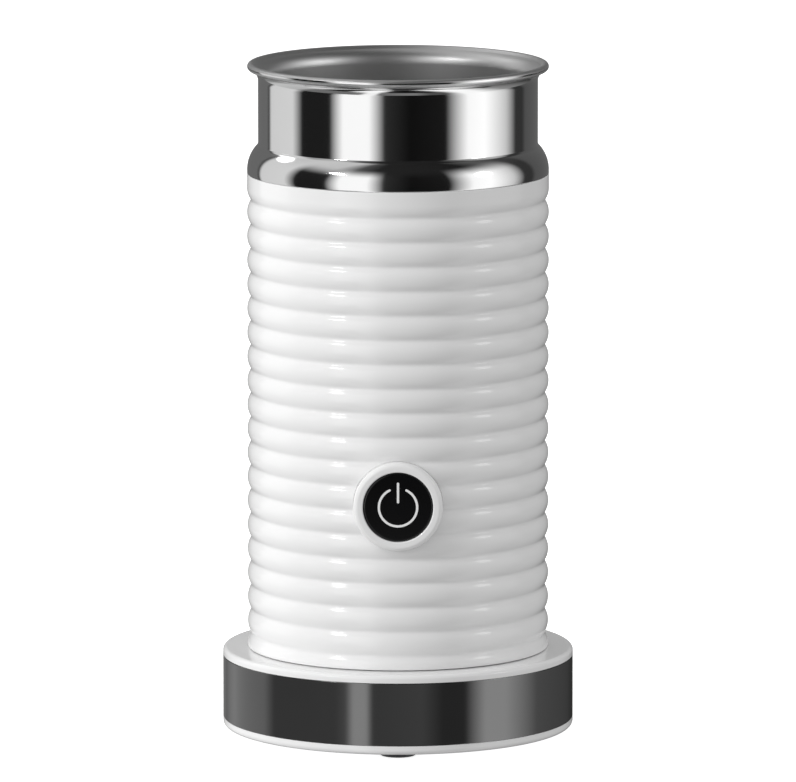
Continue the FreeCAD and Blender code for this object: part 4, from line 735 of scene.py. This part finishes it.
@dataclass
class Base:
    """Powered base: white lid, dark mirror band, white floor and rubber feet.

    Sizes in millimetres; the screws stand at three angles on the feet's
    circle, and the coupler's bosses between them on a smaller one. A cap is
    what stays above a blind hole, and a gap is room between two parts.
    """

    coupler: float = 15.2
    lid_round: float = 1.1
    lid_rows: tuple[float, float] = (40.0, 20.0)
    hole_round: float = 0.4
    edge_cut: float = 0.1
    floor_round: float = 1.4
    band_edge: float = 0.15
    band_wall: float = 1.2
    gap: float = 0.15
    skirt_wall: float = 1.9
    skirt_lift: float = 2.0
    pillar: float = 3.8
    pillar_cap: float = 2.0
    boss: float = 3.0
    boss_cap: float = 0.5
    boss_height: float = 8.0
    boss_circle: float = 22.1
    boss_angles: tuple[float, ...] = (90.0, 210.0, 330.0)
    pilot: float = 1.55
    weld: float = 0.1
    floor_wall: float = 2.0
    floor_step: float = 1.0
    foot_radius: float = 5.0
    foot_seat: float = 0.6
    foot_wall: float = 0.6
    foot_round: float = 0.7
    foot_circle: float = 33.5
    foot_angles: tuple[float, ...] = (-90.0, 30.0, 150.0)
    gland: float = 4.65
    gland_reach: tuple[float, float] = (39.85, 60.0)
    head: float = 2.95
    head_low: float = 0.5
    head_cap: float = 2.0
    shank: float = 1.65
    shank_low: float = 1.0
    clear: float = 1.0
    pilot_sides: int = 32
    seat_sides: int = 64

    def gland_tool(self) -> list[bpy.types.Object]:
        """The round cutter for the cord gland's hole through the rear wall."""
        low, high = span("cord_gland")
        place = (0, (low[2] + high[2]) / 2)
        return rods("gland_tool", self.gland, *self.gland_reach, [place], Axis.INWARD, self.seat_sides)

    def lid(self, palette: Palette) -> None:
        """Make the lid: a disc with a rounded edge, a skirt inside the band, pillars and bosses."""
        _, cover = span("base_top_cover")
        band_low, band = span("base_trim_band")
        radius, low, top = cover[0], band[2], cover[2]
        hole = self.coupler + self.gap
        skirt = radius - self.band_wall - self.gap
        skirt_low = band_low[2] + self.skirt_lift
        profile = outline(
            (hole, low), (skirt - self.skirt_wall, low),
            (skirt - self.skirt_wall, skirt_low), (skirt, skirt_low),
            (skirt, low), (radius - self.edge_cut, low), (radius, low + self.edge_cut),
            arc((radius - self.lid_round, top - self.lid_round), self.lid_round, 0, 90, 12),
            *((row, top) for row in self.lid_rows),
            arc((hole + self.hole_round, top - self.hole_round), self.hole_round, 90, 180, 6),
        )
        piece = turned("base_lid", profile)
        feet = around_axis(self.foot_circle, self.foot_angles)
        bosses = around_axis(self.boss_circle, self.boss_angles)
        joined = rods("pillar", self.pillar, skirt_low, low + self.weld, feet)
        joined += rods("boss", self.boss, low - self.boss_height, low + self.weld, bosses)
        sides = self.pilot_sides
        tools = rods("pillar_pilot", self.pilot, band_low[2], low - self.pillar_cap, feet, sides=sides)
        tools += rods("boss_pilot", self.pilot, band_low[2], low - self.boss_cap, bosses, sides=sides)
        carve(piece, tools + self.gland_tool(), joined)
        settle(piece, "base", "white_plastic", "base_top_cover", palette["white_plastic"])

    def band(self, palette: Palette) -> None:
        """Make the dark mirror band with the gland's hole at the rear."""
        low, high = span("base_trim_band")
        radius, edge = high[0], self.band_edge
        profile = outline(
            (radius - self.band_wall, low[2]),
            arc((radius - edge, low[2] + edge), edge, -90, 0, 4),
            arc((radius - edge, high[2] - edge), edge, 0, 90, 4),
            (radius - self.band_wall, high[2]),
        )
        piece = turned("base_band", profile)
        carve(piece, self.gland_tool())
        settle(piece, "base", "dark_chrome_band", "base_trim_band", palette["dark_chrome_band"])

    def floor(self, palette: Palette) -> None:
        """Make the floor with its rounded lower edge, its bosses and the feet's recesses."""
        low, high = span("base_bottom_cover")
        band_low, _ = span("base_trim_band")
        radius, top = high[0], band_low[2]
        inner = radius - self.band_wall - self.gap - self.skirt_wall - self.floor_step
        profile = outline(
            (0, low[2]),
            (radius - self.floor_round, low[2]),
            arc((radius - self.floor_round, low[2] + self.floor_round), self.floor_round, -90, 0, 12),
            (radius, top - self.edge_cut), (radius - self.edge_cut, top),
            (inner, top), (inner, low[2] + self.floor_wall), (0, low[2] + self.floor_wall),
        )
        piece = turned("base_floor", profile, closed=False)
        feet = around_axis(self.foot_circle, self.foot_angles)
        seat = low[2] + self.foot_seat
        joined = rods("floor_boss", self.foot_radius + self.foot_wall, low[2] + self.floor_wall - self.weld,
                      high[2], feet)
        tools = rods("recess", self.foot_radius + self.gap, 0, seat, feet, sides=self.seat_sides)
        tools += rods("head_room", self.head, self.head_low, seat + self.head_cap, feet)
        tools += rods("shank_room", self.shank, self.shank_low, high[2] + self.clear, feet,
                      sides=self.pilot_sides)
        carve(piece, tools, joined)
        settle(piece, "base", "white_plastic", "base_bottom_cover", palette["white_plastic"])

    def feet(self, palette: Palette) -> None:
        """Make the three feet with their soft lower edges."""
        low, high = span("base_feet")
        inner = self.foot_radius - self.foot_round
        line = outline((0, low[2]), (inner - self.edge_cut, low[2]),
                       arc((inner, low[2] + self.foot_round), self.foot_round, -90, 0, 6),
                       (self.foot_radius, high[2]), (0, high[2]))
        for number, (x, y) in enumerate(around_axis(self.foot_circle, self.foot_angles)):
            piece = turned(f"rubber_foot_{number}", line, Axis.UP, (x, y, 0), self.seat_sides, closed=False)
            settle(piece, "base", "grey_rubber", "base_feet", palette["grey_rubber"])

    def build(self, palette: Palette) -> None:
        """Make the base's visible pieces."""
        self.lid(palette)
        self.band(palette)
        self.floor(palette)
        self.feet(palette)


# ------------------------------------------------------------------ button


@dataclass
class Button:
    """White ring, black cap and the open-ring sign with its bar."""

    outer: float = 12.0
    bore: float = 9.4
    throat: float = 2.2
    web: float = 1.4
    flange: float = 1.6
    switch_gap: float = 0.4
    post: float = 2.2
    post_reach: float = 10.0
    pilot: float = 1.05
    ring_round: float = 1.3
    inner_round: float = 0.35
    cap: float = 9.25
    cap_round: float = 0.45
    cap_wall: float = 1.3
    skirt: float = 1.2
    guide: float = 7.2
    sign_radius: float = 5.12
    sign_stroke: float = 0.62
    sign_opening: float = 26.0
    sign_lift: float = 0.03
    sign_depth: float = 0.4
    bar_low: float = 1.1
    bar_high: float = 6.7
    weld: float = 0.1
    clear: float = 1.0
    face_row: float = 1.0
    ring_sides: int = 160
    cap_sides: int = 128
    guide_sides: int = 64
    pilot_sides: int = 32
    arc_points: int = 72
    bar_points: int = 12

    def ring(self, palette: Palette, height: float) -> None:
        """Make the white ring that stands proud of the ribs, with its web, flange and posts."""
        low, high = span("button_bezel")
        switch, _ = span("push_switch")
        front, back = low[1], switch[1] - self.switch_gap
        profile = outline(
            (self.throat, back - self.web),
            (self.bore, back - self.web),
            (self.bore, front + self.inner_round),
            arc((self.bore + self.inner_round, front + self.inner_round), self.inner_round, 180, 270, 6),
            arc((self.outer - self.ring_round, front + self.ring_round), self.ring_round, -90, 0, 12),
            (self.outer, back - self.flange),
            (self.outer + self.flange, back - self.flange),
            (self.outer + self.flange, back),
            (self.throat, back),
        )
        piece = turned("button_ring", profile, Axis.INWARD, (0, 0, height), self.ring_sides)
        places = [(-self.post_reach, height), (self.post_reach, height)]
        joined = rods("post", self.post, back - self.weld, high[1], places, Axis.INWARD)
        tools = rods("post_pilot", self.pilot, back, high[1] + self.clear, places, Axis.INWARD,
                     self.pilot_sides)
        carve(piece, tools, joined)
        settle(piece, "jug", "white_plastic", "button_bezel", palette["white_plastic"])

    def black_cap(self, palette: Palette, height: float) -> None:
        """Make the black cap with a softly rounded edge, over the light guide's disc."""
        low, high = span("button_cap")
        front, back = low[1], high[1]
        plate = front + self.cap_wall
        profile = outline(
            (0, front), (self.cap - self.cap_round - self.face_row, front),
            arc((self.cap - self.cap_round, front + self.cap_round), self.cap_round, -90, 0, 8),
            (self.cap, back), (self.cap - self.skirt, back), (self.cap - self.skirt, plate), (0, plate),
        )
        piece = turned("button_cap_shell", profile, Axis.INWARD, (0, 0, height), self.cap_sides, closed=False)
        settle(piece, "button", "black_plastic", "button_cap", palette["black_plastic"])
        _, guide = span("icon_light_guide")
        discs = rods("light_guide_disc", self.guide, plate, guide[1], [(0, height)], Axis.INWARD,
                     self.guide_sides)
        settle(discs[0], "button", "icon_white", "icon_light_guide", palette["icon_white"])

    def sign(self, palette: Palette, height: float) -> None:
        """Make the sign: an open ring and an upright bar, both with round ends.

        The stroke is a flat band along a middle line: an arc that is open at
        the top, or a straight bar, widened by half the stroke on each side
        and by a half circle at each end.
        """
        low, _ = span("button_cap")
        face = low[1] - self.sign_lift
        half = self.sign_stroke / 2
        angles = np.radians(np.linspace(90 + self.sign_opening, 450 - self.sign_opening, self.arc_points))
        middle = np.stack([np.cos(angles), np.sin(angles)], axis=1) * self.sign_radius
        rise = np.linspace(self.bar_low + half, self.bar_high - half, self.bar_points)
        bar = np.stack([np.zeros(self.bar_points), rise], axis=1)
        for name, line in (("sign_ring", middle), ("sign_bar", bar)):
            ahead = np.gradient(line, axis=0)
            ahead /= np.linalg.norm(ahead, axis=1, keepdims=True)
            left = np.stack([-ahead[:, 1], ahead[:, 0]], axis=1)
            caps = np.radians(np.linspace(0, 180, 9))[1:-1]
            end = line[-1] + half * (np.cos(caps)[:, None] * -left[-1] + np.sin(caps)[:, None] * ahead[-1])
            start = line[0] + half * (np.cos(caps)[:, None] * left[0] - np.sin(caps)[:, None] * ahead[0])
            edge = np.vstack([line - half * left, end, (line + half * left)[::-1], start])
            count = len(edge)
            flat = np.column_stack([edge[:, 0], np.full(count, face), edge[:, 1] + height])
            points = np.vstack([flat, flat + (0, self.sign_depth, 0)])
            steps = np.arange(count)
            after = (steps + 1) % count
            walls = np.stack([steps, steps + count, after + count, after], axis=1)
            rings = [steps[None, :], (steps + count)[None, ::-1]]
            piece = make_object(name, points * MM, [walls] + rings)
            settle(piece, "button", "icon_white", "icon_light_guide", palette["icon_white"])

    def build(self, palette: Palette) -> None:
        """Make the ring, the cap and the sign."""
        low, high = span("button_cap")
        height = (low[2] + high[2]) / 2
        self.ring(palette, height)
        self.black_cap(palette, height)
        self.sign(palette, height)


# -------------------------------------------------------------- froth coil


@dataclass
class FrothCoil:
    """The wire coil that froths the milk, wound round a ring."""

    coils: int = 44
    wire: float = 0.38
    per_coil: int = 14
    sides: int = 8

    def build(self, palette: Palette) -> None:
        """Make the coil's wire.

        Its middle line goes round the ring once while it goes round the
        ring's section as many times as there are coils.
        """
        low, high = span("froth_coil")
        tube = (high[2] - low[2]) / 2
        middle = (low[2] + high[2]) / 2
        turn = np.linspace(0, TURN, self.coils * self.per_coil, endpoint=False)
        wind = turn * self.coils
        away = high[0] - tube + (tube - self.wire) * np.cos(wind)
        rise = middle + (tube - self.wire) * np.sin(wind)
        path = np.stack([away * np.cos(turn), away * np.sin(turn), rise], axis=1)
        piece = wire_loop("froth_coil_wire", path, self.wire, self.sides)
        settle(piece, "froth_coil", "zinc_steel", "froth_coil", palette["polished_steel"])


# ------------------------------------------------------------------ studio


@dataclass(frozen=True)
class SoftBox:
    """A soft lamp: angles in degrees, size in metres, and whether mirrors show it."""

    name: str
    azimuth: float
    elevation: float
    width: float
    tall: float
    radiance: float
    mirrored: bool = True


@dataclass
class Studio:
    """Pale floor, soft light and the camera.

    The camera looks along +Y from above by its elevation, from far away
    through a long lens, at a point on the jug's axis. Compass angles are in
    degrees from the camera's side, positive to the right.
    """

    elevation: float = 8.743
    distance: float = 2.807
    lens: float = 469.0
    sensor: float = 36.0
    aim: float = 0.0938
    far_clip: float = 50.0
    floor_radius: float = 8.0
    floor_points: int = 96
    floor_level: float = 0.8
    backdrop: float = 1.05
    bright_side: tuple[float, float] = (-90.0, 65.0)
    mean: float = 0.57
    slope: float = 0.20
    ceiling_start: float = 0.40
    ceiling_full: float = 0.80
    lamp_distance: float = 2.0
    wall_distance: float = 0.5
    wall_low: float = -0.4
    wall_high: float = -0.02
    boxes: tuple[SoftBox, ...] = (
        SoftBox("key_box", -68.0, 13.0, 0.7, 0.7, 13.2, False),
        SoftBox("fill_box", 122.0, 6.0, 0.5, 0.5, 9.0, False),
        SoftBox("rear_left_box", -122.0, 36.0, 0.6, 0.5, 1.2),
        SoftBox("left_box", -52.0, 34.0, 0.38, 0.09, 55.0),
        SoftBox("right_box", 72.0, 24.0, 0.50, 0.50, 2.6),
    )
    panels: tuple[tuple[float, float], ...] = (
        (-180, 0.15), (-137, 0.17), (-133, 0.05), (-129, 0.80), (-97, 0.86), (-86, 0.015), (-58, 0.015),
        (-46, 1.3), (-24, 1.3), (-11, 0.03), (10, 0.006), (40, 0.012), (60, 1.3), (76, 1.4), (100, 0.75),
        (113, 0.04), (124, 0.04), (130, 0.10), (180, 0.15),
    )
    ceiling_panels: tuple[tuple[float, float], ...] = (
        (-180, 0.35), (-150, 0.6), (-100, 0.75), (-62, 0.7), (-40, 0.10), (-20, 0.02), (70, 0.015),
        (95, 0.12), (120, 0.06), (180, 0.30),
    )
    low_panels: tuple[tuple[float, float], ...] = (
        (-150, 0.25), (-132, 0.7), (-95, 0.6), (-86, 0.2), (-40, 0.2), (-33, 0.3), (-28, 1.2), (-20, 1.2),
        (-16, 0.2), (15, 0.25), (28, 0.1), (43, 0.1), (57, 1.3), (72, 1.3), (100, 0.35), (155, 0.05),
    )

    def camera(self) -> None:
        """Make the camera and use it."""
        data = bpy.data.cameras.new("camera")
        data.lens = self.lens
        data.sensor_width = self.sensor
        data.clip_end = self.far_clip
        eye = bpy.data.objects.new("camera", data)
        bpy.context.collection.objects.link(eye)
        tilt = math.radians(self.elevation)
        eye.location = (0, -self.distance * math.cos(tilt), self.aim + self.distance * math.sin(tilt))
        eye.rotation_euler = (math.pi / 2 - tilt, 0, 0)
        bpy.context.scene.camera = eye

    def floor(self) -> None:
        """Make a round pale floor that mirrors don't show."""
        angles = np.linspace(0, TURN, self.floor_points, endpoint=False)
        points = np.stack([np.cos(angles), np.sin(angles), 0 * angles], axis=1) * self.floor_radius
        piece = make_object("studio_floor", points, [np.arange(self.floor_points)[None, :]])
        material = bpy.data.materials.new("floor_matt_white")
        material.use_nodes = True
        shader = material.node_tree.nodes["Principled BSDF"]
        shader.inputs["Base Color"].default_value = (*3 * [self.floor_level], 1)
        shader.inputs["Roughness"].default_value = 0.9
        shader.inputs["Specular IOR Level"].default_value = 0.0
        shader.inputs["Emission Color"].default_value = (1, 1, 1, 1)
        shader.inputs["Emission Strength"].default_value = self.floor_level
        piece.data.materials.append(material)
        piece.visible_glossy = False
        piece.visible_diffuse = False

    def room(self) -> None:
        """Light the scene with a soft room that mirrors see as tall pale and dark panels.

        Matt surfaces see a level that rises evenly towards the bright side:
        the mean plus the slope times the cosine to it. Mirrors see a level
        that depends on the compass angle, fading to the ceiling's own.
        """
        world = bpy.data.worlds.new("room")
        bpy.context.scene.world = world
        world.use_nodes = True
        tree = world.node_tree
        tree.nodes.clear()
        way = add_node(tree, "ShaderNodeTexCoord")
        bright = self.direction(*self.bright_side)
        toward = add_node(tree, "ShaderNodeVectorMath", {"operation": "DOT_PRODUCT", 1: bright},
                          {0: way.outputs["Generated"]})
        soft = add_node(tree, "ShaderNodeMath", {"operation": "MULTIPLY_ADD", 1: self.slope, 2: self.mean},
                        {0: toward.outputs["Value"]})
        panels = self.compass_ramp(tree, way.outputs["Generated"], self.panels)
        split = add_node(tree, "ShaderNodeSeparateXYZ", {}, {0: way.outputs["Generated"]})
        ceiling = add_node(tree, "ShaderNodeMapRange",
                           {"interpolation_type": "SMOOTHSTEP", "From Min": self.ceiling_start,
                            "From Max": self.ceiling_full}, {"Value": split.outputs["Z"]})
        above = self.compass_ramp(tree, way.outputs["Generated"], self.ceiling_panels)
        walls = add_node(tree, "ShaderNodeMix", {"data_type": "RGBA"},
                         {"Factor": ceiling.outputs["Result"], 6: panels.outputs["Color"],
                          7: above.outputs["Color"]})
        light = add_node(tree, "ShaderNodeLightPath")
        seen = add_node(tree, "ShaderNodeMix", {"data_type": "RGBA"},
                        {"Factor": light.outputs["Is Glossy Ray"], 6: soft.outputs["Value"],
                         7: walls.outputs[2]})
        whole = add_node(tree, "ShaderNodeMix", {"data_type": "RGBA", 7: (*3 * [self.backdrop], 1)},
                         {"Factor": light.outputs["Is Camera Ray"], 6: seen.outputs[2]})
        glow = add_node(tree, "ShaderNodeBackground", {"Strength": 1.0}, {"Color": whole.outputs[2]})
        add_node(tree, "ShaderNodeOutputWorld", {}, {"Surface": glow.outputs["Background"]})

    @staticmethod
    def direction(azimuth: float, elevation: float) -> Vector:
        """The unit vector at a compass angle from the camera's side and a height angle, in degrees."""
        turn, rise = math.radians(azimuth), math.radians(elevation)
        return Vector((math.sin(turn) * math.cos(rise), -math.cos(turn) * math.cos(rise), math.sin(rise)))

    @staticmethod
    def fill_ramp(ramp: bpy.types.ColorRamp, stops: list[tuple[float, float]]) -> None:
        """Set a ramp's stops from (position, grey level) pairs."""
        while len(ramp.elements) < len(stops):
            ramp.elements.new(0.5)
        for element, (place, _) in zip(ramp.elements, stops):
            element.position = place
        for element, (_, level) in zip(ramp.elements, stops):
            element.color = (level, level, level, 1)

    def lamps(self) -> None:
        """Add the soft boxes whose glints run down the ribs and round the shoulder."""
        for box in self.boxes:
            data = bpy.data.lights.new(box.name, "AREA")
            data.shape = "ELLIPSE"
            data.size, data.size_y = box.width, box.tall
            area = math.pi / 4 * box.width * box.tall
            data.energy = box.radiance * math.pi * area
            lamp = bpy.data.objects.new(box.name, data)
            bpy.context.collection.objects.link(lamp)
            aim = Vector((0, 0, self.aim))
            lamp.location = aim + self.direction(box.azimuth, box.elevation) * self.lamp_distance
            lamp.rotation_euler = (aim - lamp.location).to_track_quat("-Z", "Y").to_euler()
            lamp.visible_camera = False
            lamp.visible_glossy = box.mirrored

    def low_wall(self) -> None:
        """Stand a glowing ring wall below the floor's level, which only the base's band mirrors.

        The band looks slightly downwards, so it mirrors what is low and near;
        the ring's level goes round with the compass angle.
        """
        turns = np.linspace(0, TURN, AROUND, endpoint=False)
        side, depth = np.sin(turns) * self.wall_distance, -np.cos(turns) * self.wall_distance
        rings = [np.column_stack([side, depth, 0 * side + z]) for z in (self.wall_low, self.wall_high)]
        piece = make_object("studio_low_wall", np.vstack(rings), [grid_faces(2, AROUND, False)])
        material = bpy.data.materials.new("wall_glow_banded")
        material.use_nodes = True
        tree = material.node_tree
        tree.nodes.clear()
        place = add_node(tree, "ShaderNodeTexCoord")
        levels = self.compass_ramp(tree, place.outputs["Object"], self.low_panels)
        glow = add_node(tree, "ShaderNodeEmission", {"Strength": 1.0}, {"Color": levels.outputs["Color"]})
        add_node(tree, "ShaderNodeOutputMaterial", {}, {"Surface": glow.outputs["Emission"]})
        piece.data.materials.append(material)
        piece.visible_camera = False
        piece.visible_diffuse = False
        piece.visible_shadow = False

    def compass_ramp(self, tree: bpy.types.NodeTree, vector: bpy.types.NodeSocket,
                     panels: tuple[tuple[float, float], ...]) -> bpy.types.Node:
        """Grey levels that follow a vector's compass angle.

        Args:
            tree: The node tree.
            vector: The socket of the vector.
            panels: (angle in degrees, grey level) pairs in rising order.

        Returns:
            The colour ramp node.
        """
        split = add_node(tree, "ShaderNodeSeparateXYZ", {}, {0: vector})
        front = add_node(tree, "ShaderNodeMath", {"operation": "MULTIPLY", 1: -1.0}, {0: split.outputs["Y"]})
        azimuth = add_node(tree, "ShaderNodeMath", {"operation": "ARCTAN2"},
                           {0: split.outputs["X"], 1: front.outputs["Value"]})
        share = add_node(tree, "ShaderNodeMath", {"operation": "MULTIPLY_ADD", 1: 1 / TURN, 2: 0.5},
                         {0: azimuth.outputs["Value"]})
        ramp = add_node(tree, "ShaderNodeValToRGB", {}, {"Fac": share.outputs["Value"]})
        self.fill_ramp(ramp.color_ramp, [(angle / 360 + 0.5, level) for angle, level in panels])
        return ramp

    def build(self) -> None:
        """Make the camera, the floor, the room and the lamps."""
        self.camera()
        self.floor()
        self.room()
        self.lamps()
        self.low_wall()
        bpy.context.scene.view_settings.view_transform = "Standard"


def dress_nodes(palette: Palette) -> None:
    """Give every carried CAD node the material of its slot."""
    slots = {row["node"]: row["material_slot"] for row in frame["record"]["subparts"]}
    for name, piece in frame["nodes"].items():
        material = palette[slots[name]]
        for place in piece.material_slots:
            place.material = material
        if not piece.material_slots:
            piece.data.materials.append(material)
    LOG.info("%d CAD nodes dressed", len(frame["nodes"]))


def main() -> None:
    """Build the studio and then each sub-assembly in order."""
    logging.basicConfig(level=logging.INFO, format="%(name)s: %(message)s")
    palette = Palette()
    Studio().build()
    dress_nodes(palette)
    for part in (Shutter(), Base(), Sleeve(), Collar(), Pot(), Button(), FrothCoil()):
        LOG.info("building %s", type(part).__name__)
        part.build(palette)


if __name__ == "__main__":
    main()
